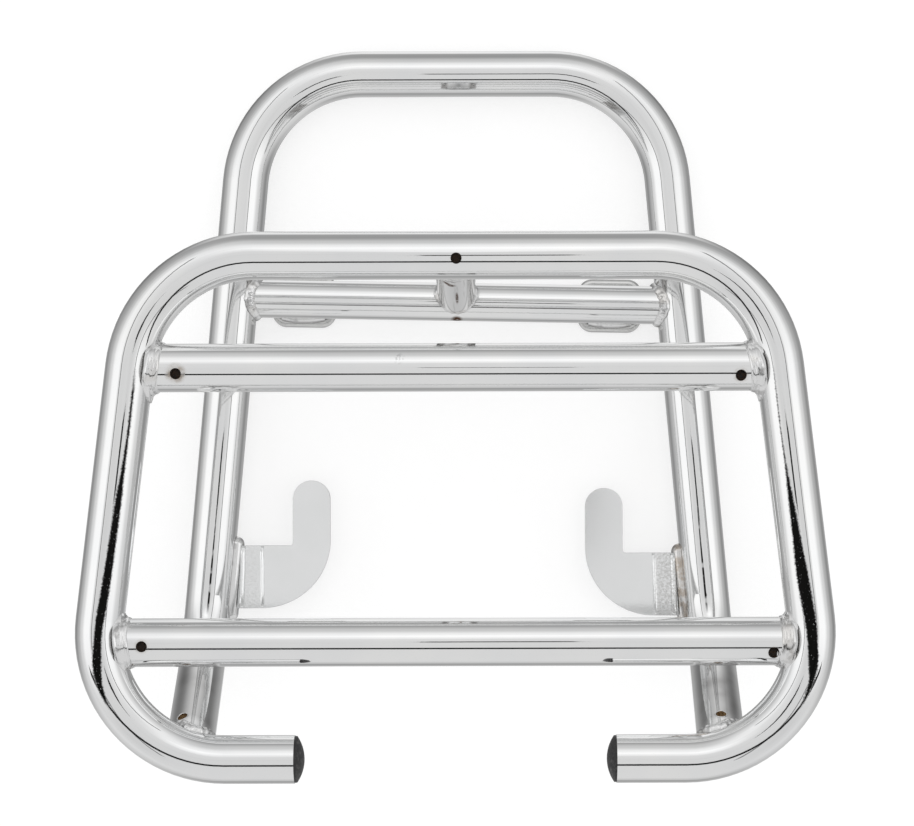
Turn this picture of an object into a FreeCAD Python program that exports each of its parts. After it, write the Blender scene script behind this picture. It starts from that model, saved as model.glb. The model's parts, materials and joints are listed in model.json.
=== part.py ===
import FreeCAD, Part
import math
import os
import Sketcher
from FreeCAD import Placement, Rotation, Vector

# Motorcycle luggage rack: a bent-tube carrier bed welded over a lower support loop.
# X runs across the rack, Y runs from the open arms to the nose of the support loop, Z is up.
# The origin is the middle of the footprint, on the plane that the support loop lies on.
# All lengths are millimetres and all angles are degrees.

SIZES = {
    # Tube stock
    "tube_od": 22.0,
    "tube_wall": 1.5,
    "brace_od": 18.5,
    "brace_wall": 1.5,
    "bend_radius": 57.0,
    "fishmouth_trim": 1.5,
    "bar_end_setoff": 9.5,
    # Layout
    "overall_length": 347.2,
    "level_spacing": 80.0,
    # Carrier loop, measured on the tube's centre line
    "carrier_length": 228.9,
    "carrier_front_width": 283.5,
    "side_flare": 6.8,
    "arm_gap": 146.0,
    "upper_bar_setback": 50.9,
    "lower_bar_setback": 53.2,
    # Support loop, measured on the tube's centre line
    "support_width": 195.9,
    "leg_flare": 5.2,
    "leg_bend_radius": 45.0,
    "leg_lean": 62.0,
    "leg_landing_spacing": 242.6,
    "support_bar_setback": 111.0,
    "support_bar_tilt": 1.1,
    "stub_rise": 2.0,
    # Vent holes for the plating bath
    "vent_bore": 5.0,
    "front_vent_offset": 0.9,
    "front_vent_drop": 2.3,
    "upper_vent_inset_left": 22.2,
    "upper_vent_inset_right": 18.6,
    "upper_vent_drop_left": 3.1,
    "upper_vent_drop_right": 4.4,
    "lower_vent_inset_left": 21.5,
    "lower_vent_inset_right": 19.1,
    "lower_vent_drop_left": 1.2,
    "lower_vent_drop_right": 4.6,
    "leg_vent_distance": 15.5,
    "leg_vent_turn_left": 26.0,
    "leg_vent_turn_right": 6.0,
    # Hooks cut and folded from sheet
    "hook_sheet": 3.0,
    "hook_reach": 57.0,
    "hook_finger_width": 18.3,
    "hook_finger_height": 31.6,
    "hook_strap_height": 30.5,
    "hook_outer_radius": 33.2,
    "hook_inner_radius": 1.5,
    "hook_strip_width": 9.3,
    "hook_strip_rise": 1.6,
    "hook_flange_drop": 2.6,
    "hook_fold_radius": 5.0,
    "hook_slot_left": 95.8,
    "hook_slot_right": 91.8,
    # Mount plates under the support crossbar
    "plate_width": 31.0,
    "plate_height": 26.0,
    "plate_thickness": 5.0,
    "plate_corner": 7.0,
    "plate_edge": 2.2,
    "plate_setback": 33.2,
    # End plugs
    "plug_head_diameter": 21.2,
    "plug_lip": 1.0,
    "plug_dome": 3.3,
    "plug_stem_length": 12.0,
    "plug_stem_wall": 1.6,
    "plug_clearance": 0.1,
    # Weld beads
    "bead_radius": 3.2,
    "bead_sink_bar": 1.5,
    "bead_sink_tube": 0.2,
    "ring_bead_radius": 3.8,
    "ring_bead_sink": 1.7,
    "ring_bead_setoff": 11.4,
    "hook_bead_radius": 4.0,
    "hook_bead_overrun": 1.5,
    "plate_bead_radius": 3.0,
    "plate_bead_length": 20.0,
    "plate_bead_bow": 1.2,
}

doc = FreeCAD.newDocument("luggage_rack")
sheet = doc.addObject("Spreadsheet::Sheet", "Sizes")
for row, (alias, number) in enumerate(SIZES.items(), start=1):
    sheet.set(f"A{row}", alias)
    sheet.set(f"B{row}", str(number))
    sheet.setAlias(f"B{row}", alias)
doc.recompute()

# Places that several pieces share, worked out from the sheet
TUBE_RADIUS = "(Sizes.tube_od / 2)"
BRACE_RADIUS = "(Sizes.brace_od / 2)"
SUPPORT_Z = TUBE_RADIUS
CARRIER_Z = f"({SUPPORT_Z} + Sizes.level_spacing)"
NOSE_Y = "((Sizes.overall_length - Sizes.tube_od) / 2)"
ARM_Y = f"(-{NOSE_Y})"
FRONT_Y = f"({ARM_Y} + Sizes.carrier_length)"
UPPER_Y = f"({FRONT_Y} - Sizes.upper_bar_setback)"
LOWER_Y = f"({ARM_Y} + Sizes.lower_bar_setback)"
BRACE_Y = f"({NOSE_Y} - Sizes.support_bar_setback)"
ARM_END_X = "(Sizes.arm_gap / 2)"
FRONT_BEND_X = "(Sizes.carrier_front_width / 2 - Sizes.bend_radius * tan(45 - Sizes.side_flare / 2))"
NOSE_BEND_X = "(Sizes.support_width / 2 - Sizes.bend_radius * tan(45 - Sizes.leg_flare / 2))"
STUB_LEAN = f"atan(({FRONT_Y} - {BRACE_Y} - Sizes.stub_rise) / Sizes.level_spacing)"


def side_x(y):
    """Half width of the carrier loop's centre line at a place along the rack."""
    return f"(Sizes.carrier_front_width / 2 + ({FRONT_Y} - {y}) * tan(Sizes.side_flare))"


def leg_x(y):
    """Half width of the support loop's centre line at a place along the rack."""
    return f"(Sizes.support_width / 2 + ({NOSE_Y} - {y}) * tan(Sizes.leg_flare))"


ARM_BEND_X = f"({side_x(ARM_Y)} - Sizes.bend_radius * tan(45 + Sizes.side_flare / 2))"
FRONT_BEND_Y = f"({FRONT_Y} - Sizes.bend_radius)"
ARM_BEND_Y = f"({ARM_Y} + Sizes.bend_radius)"
PLATE_X = f"({leg_x(BRACE_Y)} - Sizes.plate_setback)"


def carrier_x(y):
    """Half width of the carrier loop's centre line, on its side and on its two bends."""
    def bend_x(x_centre, y_centre):
        return f"{x_centre} + sqrt(Sizes.bend_radius ^ 2 - ({y} - {y_centre}) ^ 2)"

    run_out = "Sizes.bend_radius * sin(Sizes.side_flare)"
    lower = f"({y} < {ARM_BEND_Y} + {run_out} ? {bend_x(ARM_BEND_X, ARM_BEND_Y)} : {side_x(y)})"
    return f"({y} > {FRONT_BEND_Y} + {run_out} ? {bend_x(FRONT_BEND_X, FRONT_BEND_Y)} : {lower})"


def value(expression):
    """The number that an expression on the sheet gives."""
    result = sheet.evalExpression(expression)
    return float(getattr(result, "Value", result))


def size(alias):
    return value(f"Sizes.{alias}")


def origin_plane(body, role):
    return next(plane for plane in body.Origin.OriginFeatures if plane.Role == role)


def new_body(label):
    body = doc.addObject("PartDesign::Body", label)
    body.Label = label
    return body


def new_sketch(body, name, role, x="0", y="0", z="0", turn_axis=None, turn="0"):
    """A sketch on one of the body's origin planes, offset and turned in that plane's own frame."""
    sketch = body.newObject("Sketcher::SketchObject", f"{body.Label}_{name}")
    sketch.AttachmentSupport = [(origin_plane(body, role), "")]
    sketch.MapMode = "FlatFace"
    if turn_axis:
        sketch.AttachmentOffset = Placement(Vector(), Rotation(turn_axis, value(turn)))
        sketch.setExpression("AttachmentOffset.Rotation.Angle", f"({turn}) * 1 deg")
    for letter, expression in zip("xyz", (x, y, z)):
        sketch.setExpression(f"AttachmentOffset.Base.{letter}", expression)
    return sketch


def dimension(sketch, name, kind, *references, expression):
    """Add a driving dimension and bind it to the sheet."""
    unit = " * 1 deg" if kind == "Angle" else ""
    number = value(expression)
    if kind == "Angle":
        number = math.radians(number)
    index = sketch.addConstraint(Sketcher.Constraint(kind, *references, number))
    sketch.renameConstraint(index, name)
    sketch.setExpression(f"Constraints.{name}", f"({expression}){unit}")


def relate(sketch, kind, *references):
    sketch.addConstraint(Sketcher.Constraint(kind, *references))


def add_line(sketch, start, end):
    return sketch.addGeometry(Part.LineSegment(Vector(*start, 0), Vector(*end, 0)))


def add_arc(sketch, centre, radius, start_degrees, end_degrees):
    circle = Part.Circle(Vector(*centre, 0), Vector(0, 0, 1), radius)
    return sketch.addGeometry(Part.ArcOfCircle(circle, math.radians(start_degrees), math.radians(end_degrees)))


def add_circle(sketch, name, diameter, x="0", y="0"):
    """A circle dimensioned from the sketch's origin."""
    centre = Vector(value(x), value(y), 0)
    circle = sketch.addGeometry(Part.Circle(centre, Vector(0, 0, 1), value(diameter) / 2))
    dimension(sketch, f"{name}_diameter", "Diameter", circle, expression=diameter)
    if x == "0" and y == "0":
        relate(sketch, "Coincident", circle, 3, -1, 1)
        return circle
    dimension(sketch, f"{name}_x", "DistanceX", -1, 1, circle, 3, expression=x)
    dimension(sketch, f"{name}_y", "DistanceY", -1, 1, circle, 3, expression=y)
    return circle


def add_tube_section(sketch, diameter, wall, x="0", y="0"):
    """Outer circle and bore of a tube."""
    outer = add_circle(sketch, "outer", diameter, x, y)
    bore_diameter = f"({diameter} - 2 * {wall})"
    bore = sketch.addGeometry(Part.Circle(Vector(value(x), value(y), 0), Vector(0, 0, 1), value(bore_diameter) / 2))
    dimension(sketch, "bore_diameter", "Diameter", bore, expression=bore_diameter)
    relate(sketch, "Coincident", bore, 3, outer, 3)


def extrude(body, kind, sketch, name, length, symmetric=False, backwards=False):
    """Pad or pocket a sketch by a length from the sheet."""
    feature = body.newObject(f"PartDesign::{kind}", f"{body.Label}_{name}")
    feature.Profile = sketch
    feature.setExpression("Length", length)
    if symmetric:
        feature.SideType = "Symmetric"
    feature.Reversed = backwards
    sketch.Visibility = False
    return feature


def mirror(body, originals, name):
    """Repeat features on the other side of the rack's middle plane."""
    doc.recompute()
    feature = body.newObject("PartDesign::Mirrored", f"{body.Label}_{name}")
    feature.Originals = originals
    feature.MirrorPlane = (origin_plane(body, "YZ_Plane"), [""])
    body.Tip = feature
    doc.recompute()
    return feature


def sweep(body, kind, name, section, path, edge_count):
    """Run a section along a path."""
    pipe = body.newObject(f"PartDesign::{kind}", f"{body.Label}_{name}")
    pipe.Profile = section
    pipe.Spine = (path, [f"Edge{number}" for number in range(1, edge_count + 1)])
    pipe.Mode = "Frenet"
    return pipe


def cut_vent(body, name, x, y, z):
    """Drill a vent through the upper wall of a level tube whose axis is at height z."""
    sketch = new_sketch(body, name, "XY_Plane", z=z)
    add_circle(sketch, "vent", "Sizes.vent_bore", x, y)
    return extrude(body, "Pocket", sketch, f"{name}_drilling", "Sizes.tube_od", backwards=True)


# Carrier loop

def draw_carrier_path(sketch):
    """Right half of the carrier loop's centre line: front bar, bend, side, bend, arm."""
    flare = size("side_flare")
    radius = size("bend_radius")
    front_y, arm_y = value(FRONT_Y), value(ARM_Y)
    front_bend = (value(FRONT_BEND_X), front_y - radius)
    arm_bend = (value(ARM_BEND_X), arm_y + radius)
    across = Vector(math.cos(math.radians(flare)), math.sin(math.radians(flare)), 0) * radius
    side_top = (front_bend[0] + across.x, front_bend[1] + across.y)
    side_foot = (arm_bend[0] + across.x, arm_bend[1] + across.y)
    bar = add_line(sketch, (0, front_y), (front_bend[0], front_y))
    upper = add_arc(sketch, front_bend, radius, flare, 90)
    side = add_line(sketch, side_foot, side_top)
    lower = add_arc(sketch, arm_bend, radius, -90, flare)
    arm = add_line(sketch, (arm_bend[0], arm_y), (value(ARM_END_X), arm_y))
    relate(sketch, "PointOnObject", bar, 1, -2)
    relate(sketch, "Horizontal", bar)
    relate(sketch, "Tangent", bar, 2, upper, 2)
    relate(sketch, "Tangent", upper, 1, side, 2)
    relate(sketch, "Tangent", side, 1, lower, 2)
    relate(sketch, "Tangent", lower, 1, arm, 1)
    relate(sketch, "Horizontal", arm)
    relate(sketch, "Equal", upper, lower)
    dimension(sketch, "bend", "Radius", upper, expression="Sizes.bend_radius")
    dimension(sketch, "front", "DistanceY", -1, 1, bar, 1, expression=FRONT_Y)
    dimension(sketch, "half_bar", "DistanceX", bar, 1, bar, 2, expression=FRONT_BEND_X)
    dimension(sketch, "flare", "Angle", side, expression="90 + Sizes.side_flare")
    dimension(sketch, "arm_line", "DistanceY", arm, 2, -1, 1, expression=f"-{ARM_Y}")
    dimension(sketch, "half_gap", "DistanceX", -1, 1, arm, 2, expression=ARM_END_X)


def make_carrier_loop():
    body = new_body("carrier_loop")
    path = new_sketch(body, "path", "XY_Plane", z=CARRIER_Z)
    draw_carrier_path(path)
    section = new_sketch(body, "section", "YZ_Plane")
    add_tube_section(section, "Sizes.tube_od", "Sizes.tube_wall", FRONT_Y, CARRIER_Z)
    doc.recompute()
    tube = sweep(body, "AdditivePipe", "tube", section, path, 5)
    mirror(body, [tube], "both_halves")
    cut_vent(body, "front_vent", "Sizes.front_vent_offset", f"({FRONT_Y} - Sizes.front_vent_drop)", CARRIER_Z)
    return body


# Crossbars of the carrier bed

def make_crossbar(label, y, vents):
    """A tube cut square and notched at both ends to sit against the sides of the carrier loop."""
    body = new_body(label)
    section = new_sketch(body, "section", "YZ_Plane")
    add_tube_section(section, "Sizes.tube_od", "Sizes.tube_wall", y, CARRIER_Z)
    extrude(body, "Pad", section, "tube", f"2 * ({carrier_x(y)} - Sizes.bar_end_setoff)", symmetric=True)
    side_path = new_sketch(body, "side_path", "XY_Plane", z=CARRIER_Z)
    draw_carrier_path(side_path)
    side_section = new_sketch(body, "side_section", "YZ_Plane")
    add_circle(side_section, "side_tube", "Sizes.tube_od", FRONT_Y, CARRIER_Z)
    doc.recompute()
    mouth = sweep(body, "SubtractivePipe", "fishmouth", side_section, side_path, 5)
    mirror(body, [mouth], "fishmouths")
    for name, side, inset, drop in vents:
        cut_vent(body, name, f"{side} * ({side_x(y)} - {inset})", f"({y} - {drop})", CARRIER_Z)
    return body


# Support loop

def leg_route():
    """Directions and turning points of the right leg, from the nose bend to the carrier arm."""
    flare = math.radians(size("leg_flare"))
    lean = math.radians(size("leg_lean"))
    radius = size("leg_bend_radius")
    down = Vector(math.sin(flare), -math.cos(flare), 0)
    corner = Vector(size("support_width") / 2, value(NOSE_Y), value(SUPPORT_Z))
    arm_bend = Vector(value(ARM_BEND_X), value(ARM_Y) + size("bend_radius"), value(CARRIER_Z))
    landing_x = size("leg_landing_spacing") / 2
    beyond = max(0, landing_x - arm_bend.x)
    landing = Vector(landing_x, arm_bend.y - math.sqrt(size("bend_radius") ** 2 - beyond ** 2), arm_bend.z)
    offset = landing - corner
    along = offset.dot(down)
    across = offset - down * along
    rise = across.Length
    across.normalize()
    run = (rise - radius * (1 - math.cos(lean))) / math.sin(lean)
    bend_start = corner + down * (along - radius * math.sin(lean) - run * math.cos(lean))

    def on_bend(angle):
        return bend_start + down * (radius * math.sin(angle)) + across * (radius * (1 - math.cos(angle)))

    direction = down * math.cos(lean) + across * math.sin(lean)
    return {"down": down, "corner": corner, "landing": landing, "arm_bend": arm_bend, "direction": direction,
            "bend_start": bend_start, "bend_middle": on_bend(lean / 2), "bend_end": on_bend(lean),
            "across": across}


def support_centreline(route):
    """Right half of the support loop: nose bar, flat bend, leg, rising bend, run up to the arm."""
    radius = size("bend_radius")
    nose_bend = Vector(value(NOSE_BEND_X), value(NOSE_Y) - radius, value(SUPPORT_Z))
    nose_middle = Vector(0, value(NOSE_Y), value(SUPPORT_Z))
    flare = size("leg_flare")

    def on_nose_bend(degrees):
        angle = math.radians(degrees)
        return nose_bend + Vector(math.cos(angle), math.sin(angle), 0) * radius

    bar_end, leg_top = on_nose_bend(90), on_nose_bend(flare)
    leg_end = route["landing"] - route["direction"] * size("fishmouth_trim")
    return Part.Wire([
        Part.makeLine(nose_middle, bar_end),
        Part.Arc(bar_end, on_nose_bend(45 + flare / 2), leg_top).toShape(),
        Part.makeLine(leg_top, route["bend_start"]),
        Part.Arc(route["bend_start"], route["bend_middle"], route["bend_end"]).toShape(),
        Part.makeLine(route["bend_end"], leg_end),
    ])


def cut_leg_vent(body, name, route, side, turn):
    """Drill a vent square to the leg's rising run, turned outwards round the tube."""
    axis = route["direction"]
    facing = axis.cross(route["across"]).cross(axis)
    facing.normalize()
    facing = Rotation(axis, -turn).multVec(facing)
    centre = route["landing"] - axis * size("leg_vent_distance")
    centre.x *= side
    facing.x *= side
    sketch = body.newObject("Sketcher::SketchObject", f"{body.Label}_{name}")
    sketch.AttachmentSupport = [(origin_plane(body, "XY_Plane"), "")]
    sketch.MapMode = "FlatFace"
    sketch.AttachmentOffset = Placement(centre, Rotation(Vector(0, 0, 1), facing))
    add_circle(sketch, "vent", "Sizes.vent_bore")
    extrude(body, "Pocket", sketch, f"{name}_drilling", "Sizes.tube_od", backwards=True)


def make_support_paths(route):
    """The support loop's centre line as two halves, right and left."""
    right = doc.addObject("Part::Feature", "support_centreline_right")
    right.Shape = support_centreline(route)
    left = doc.addObject("Part::Feature", "support_centreline_left")
    left.Shape = right.Shape.mirror(Vector(0, 0, 0), Vector(1, 0, 0))
    return {1: right, -1: left}


def make_support_loop(route, path):
    """One bent tube whose legs rise to the carrier arms and are fish-mouthed against them."""
    body = new_body("support_loop")
    section = new_sketch(body, "section", "YZ_Plane")
    add_tube_section(section, "Sizes.tube_od", "Sizes.tube_wall", NOSE_Y, SUPPORT_Z)
    doc.recompute()
    tube = sweep(body, "AdditivePipe", "tube", section, path, len(path.Shape.Edges))
    doc.recompute()
    cope = new_sketch(body, "cope", "XZ_Plane", ARM_BEND_X, CARRIER_Z, f"-{ARM_BEND_Y}")
    add_circle(cope, "arm_bend", "Sizes.tube_od", "Sizes.bend_radius", "0")
    mouth = body.newObject("PartDesign::Groove", "support_loop_fishmouth")
    mouth.Profile = cope
    mouth.ReferenceAxis = (cope, ["V_Axis"])
    mouth.Angle = 360
    mirror(body, [tube, mouth], "both_halves")
    cut_leg_vent(body, "left_vent", route, -1, size("leg_vent_turn_left"))
    cut_leg_vent(body, "right_vent", route, 1, size("leg_vent_turn_right"))
    return body


# Support crossbar and centre stub

def make_support_crossbar():
    """The thinner tube between the legs, set a little out of square."""
    body = new_body("support_crossbar")
    end_x = leg_x(BRACE_Y)
    tilt = "-Sizes.support_bar_tilt"
    section = new_sketch(body, "section", "YZ_Plane", BRACE_Y, SUPPORT_Z, "0", Vector(0, 1, 0), tilt)
    add_tube_section(section, "Sizes.brace_od", "Sizes.brace_wall")
    extrude(body, "Pad", section, "tube", f"2 * {end_x}", symmetric=True)
    cope = new_sketch(body, "cope", "XZ_Plane", end_x, SUPPORT_Z, f"-{BRACE_Y}", Vector(0, 1, 0), "Sizes.leg_flare")
    add_circle(cope, "leg", "Sizes.tube_od")
    mouth = extrude(body, "Pocket", cope, "fishmouth", "3 * Sizes.tube_od", symmetric=True)
    mirror(body, [mouth], "fishmouths")
    return body


def make_centre_stub():
    """The short leaning tube from the front bar down to the support crossbar."""
    body = new_body("centre_stub")
    section = new_sketch(body, "section", "XY_Plane", "0", FRONT_Y, CARRIER_Z, Vector(1, 0, 0), f"-{STUB_LEAN}")
    add_tube_section(section, "Sizes.brace_od", "Sizes.brace_wall")
    length = f"Sizes.level_spacing / cos({STUB_LEAN}) - Sizes.fishmouth_trim"
    extrude(body, "Pad", section, "tube", length, backwards=True)
    front_cope = new_sketch(body, "front_cope", "YZ_Plane")
    add_circle(front_cope, "front_bar", "Sizes.tube_od", FRONT_Y, CARRIER_Z)
    extrude(body, "Pocket", front_cope, "front_mouth", "2 * Sizes.tube_od", symmetric=True)
    foot_cope = new_sketch(body, "foot_cope", "YZ_Plane", BRACE_Y, SUPPORT_Z, "0", Vector(0, 1, 0),
                           "-Sizes.support_bar_tilt")
    add_circle(foot_cope, "crossbar", "Sizes.brace_od")
    extrude(body, "Pocket", foot_cope, "foot_mouth", "2 * Sizes.tube_od", symmetric=True)
    return body


# Mount plates

def draw_rounded_rectangle(sketch, width, height, corner):
    """A rectangle with round corners, centred on the sketch's origin."""
    half_x, half_y, radius = value(width) / 2, value(height) / 2, value(corner)
    inner_x, inner_y = half_x - radius, half_y - radius
    top = add_line(sketch, (-inner_x, half_y), (inner_x, half_y))
    right = add_line(sketch, (half_x, inner_y), (half_x, -inner_y))
    foot = add_line(sketch, (inner_x, -half_y), (-inner_x, -half_y))
    left = add_line(sketch, (-half_x, -inner_y), (-half_x, inner_y))
    top_right = add_arc(sketch, (inner_x, inner_y), radius, 0, 90)
    foot_right = add_arc(sketch, (inner_x, -inner_y), radius, 270, 360)
    foot_left = add_arc(sketch, (-inner_x, -inner_y), radius, 180, 270)
    top_left = add_arc(sketch, (-inner_x, inner_y), radius, 90, 180)
    relate(sketch, "Tangent", top, 2, top_right, 2)
    relate(sketch, "Tangent", top_right, 1, right, 1)
    relate(sketch, "Tangent", right, 2, foot_right, 2)
    relate(sketch, "Tangent", foot_right, 1, foot, 1)
    relate(sketch, "Tangent", foot, 2, foot_left, 2)
    relate(sketch, "Tangent", foot_left, 1, left, 1)
    relate(sketch, "Tangent", left, 2, top_left, 2)
    relate(sketch, "Tangent", top_left, 1, top, 1)
    relate(sketch, "Horizontal", top)
    relate(sketch, "Vertical", right)
    for arc in (foot_right, foot_left, top_left):
        relate(sketch, "Equal", top_right, arc)
    relate(sketch, "Symmetric", top_right, 3, foot_left, 3, -1, 1)
    dimension(sketch, "corner", "Radius", top_right, expression=corner)
    dimension(sketch, "width", "DistanceX", foot_left, 3, top_right, 3, expression=f"{width} - 2 * {corner}")
    dimension(sketch, "height", "DistanceY", foot_left, 3, top_right, 3, expression=f"{height} - 2 * {corner}")


def make_mount_plate(label, side):
    """A flat plate under the support crossbar, with a saddle for the tube and an eased front edge."""
    body = new_body(label)
    x = f"({side} * {PLATE_X})"
    y = f"({BRACE_Y} - {x} * tan(Sizes.support_bar_tilt))"
    outline = new_sketch(body, "outline", "XY_Plane", x, y, "0", Vector(0, 0, 1), "-Sizes.support_bar_tilt")
    draw_rounded_rectangle(outline, "Sizes.plate_width", "Sizes.plate_height", "Sizes.plate_corner")
    blank = extrude(body, "Pad", outline, "blank", "Sizes.plate_thickness")
    doc.recompute()
    top = size("plate_thickness")
    rim = [f"Edge{number}" for number, edge in enumerate(blank.Shape.Edges, start=1)
           if abs(edge.BoundBox.ZMin - top) < 0.01]
    eased = body.newObject("PartDesign::Fillet", f"{label}_eased_edge")
    eased.Base = (blank, rim)
    eased.setExpression("Radius", "Sizes.plate_edge")
    doc.recompute()
    saddle = new_sketch(body, "saddle", "YZ_Plane", BRACE_Y, SUPPORT_Z, "0", Vector(0, 1, 0),
                        "-Sizes.support_bar_tilt")
    add_circle(saddle, "crossbar", "Sizes.brace_od")
    extrude(body, "Pocket", saddle, "saddle_cut", f"2 * ({PLATE_X} + Sizes.plate_width)", symmetric=True)
    return body


# Hooks

def draw_fold(sketch, side, stations):
    """Closed section of the folded sheet: its stations joined along both faces."""
    half = size("hook_sheet") / 2
    front = [(side * value(x), value(z) + half) for x, z in stations]
    back = [(side * value(x), value(z) - half) for x, z in stations]
    corners = front + back[::-1]
    lines = [add_line(sketch, start, end) for start, end in zip(corners, corners[1:] + corners[:1])]
    for line, following in zip(lines, lines[1:] + lines[:1]):
        relate(sketch, "Coincident", line, 2, following, 1)
    count = len(stations)
    for index, (x, z) in enumerate(stations):
        for name, line, sign in (("front", lines[index], 1), ("back", lines[2 * count - 1 - index], -1)):
            dimension(sketch, f"{name}_x_{index}", "DistanceX", -1, 1, line, 1, expression=f"{side} * {x}")
            dimension(sketch, f"{name}_z_{index}", "DistanceY", -1, 1, line, 1,
                      expression=f"{z} + {sign} * Sizes.hook_sheet / 2")


def draw_hook_outline(sketch, side, slot_y):
    """The J-shaped outline inside a frame that trims away the rest of the folded strip."""
    outer, width = value(leg_x(slot_y)) - size("hook_reach"), size("hook_finger_width")
    radius, corner = size("hook_outer_radius"), size("hook_inner_radius")
    slot = value(slot_y)
    tip = slot + size("hook_finger_height")
    foot = slot - size("hook_strap_height")
    inner = outer + width
    end = outer + 2 * radius + size("tube_od")
    heel = (outer + radius, foot + radius)
    cap = (outer + width / 2, tip - width / 2)
    slot_corner = (inner + corner, slot + corner)

    def point(x, y):
        return Vector(side * x, y, 0)

    def arc(centre, arc_radius, start, finish):
        ends = [point(centre[0] + arc_radius * math.cos(math.radians(angle)),
                      centre[1] + arc_radius * math.sin(math.radians(angle)))
                for angle in (start, (start + finish) / 2, finish)]
        return sketch.addGeometry(Part.Arc(*ends))

    def line(start, finish):
        return sketch.addGeometry(Part.LineSegment(point(*start), point(*finish)))

    strap_top = line((end, slot), (slot_corner[0], slot))
    fillet = arc(slot_corner, corner, 270, 180)
    finger_inner = line((inner, slot_corner[1]), (inner, cap[1]))
    round_tip = arc(cap, width / 2, 0, 180)
    finger_outer = line((outer, cap[1]), (outer, heel[1]))
    heel_arc = arc(heel, radius, 180, 270)
    strap_foot = line((heel[0], foot), (end, foot))
    strap_end = line((end, foot), (end, slot))
    chain = [strap_top, fillet, finger_inner, round_tip, finger_outer, heel_arc, strap_foot, strap_end]
    for piece in chain:
        sketch.addConstraint(Sketcher.Constraint("Block", piece))
    margin = 2 * width
    frame = [(outer - margin, foot - margin), (end + margin, foot - margin), (end + margin, tip + margin),
             (outer - margin, tip + margin)]
    for start, finish in zip(frame, frame[1:] + frame[:1]):
        sketch.addConstraint(Sketcher.Constraint("Block", line(start, finish)))


def make_hook(label, side, slot_distance, path):
    """A J-shaped hook laser-cut from sheet and folded to meet the leg."""
    body = new_body(label)
    slot_y = f"({ARM_Y} + {slot_distance})"
    edge = f"({leg_x(slot_y)} - Sizes.hook_reach)"
    fold_x = f"({edge} + Sizes.hook_outer_radius)"
    strip_x = f"({fold_x} + Sizes.hook_strip_width)"
    end_x = f"({leg_x(slot_y)} - {TUBE_RADIUS} / 2)"
    strip_z = f"({SUPPORT_Z} + Sizes.hook_strip_rise)"
    end_z = f"({strip_z} - Sizes.hook_flange_drop)"
    stations = [(edge, SUPPORT_Z), (fold_x, SUPPORT_Z), (strip_x, strip_z), (end_x, end_z)]
    length = "(Sizes.hook_finger_height + Sizes.hook_strap_height)"
    fold = new_sketch(body, "fold", "XZ_Plane", z=f"-({slot_y} + Sizes.hook_finger_height)")
    draw_fold(fold, side, stations)
    strip = extrude(body, "Pad", fold, "strip", length)
    doc.recompute()
    folds = []
    for number, edge_shape in enumerate(strip.Shape.Edges, start=1):
        box = edge_shape.BoundBox
        runs_along = box.YLength > 1 and box.XLength < 0.01
        at_fold = min(abs(abs(box.XMin) - value(fold_x)), abs(abs(box.XMin) - value(strip_x))) < 0.01
        if runs_along and at_fold:
            folds.append(f"Edge{number}")
    bends = body.newObject("PartDesign::Fillet", f"{label}_bends")
    bends.Base = (strip, folds)
    bends.setExpression("Radius", "Sizes.hook_fold_radius")
    doc.recompute()
    outline = new_sketch(body, "outline", "XY_Plane", z=SUPPORT_Z)
    draw_hook_outline(outline, side, slot_y)
    extrude(body, "Pocket", outline, "trim", "4 * Sizes.tube_od", symmetric=True)
    doc.recompute()
    leg_section = new_sketch(body, "leg_section", "YZ_Plane")
    add_circle(leg_section, "leg", "Sizes.tube_od", NOSE_Y, SUPPORT_Z)
    sweep(body, "SubtractivePipe", "leg_seat", leg_section, path, len(path.Shape.Edges))
    return body


# End plugs

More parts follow.
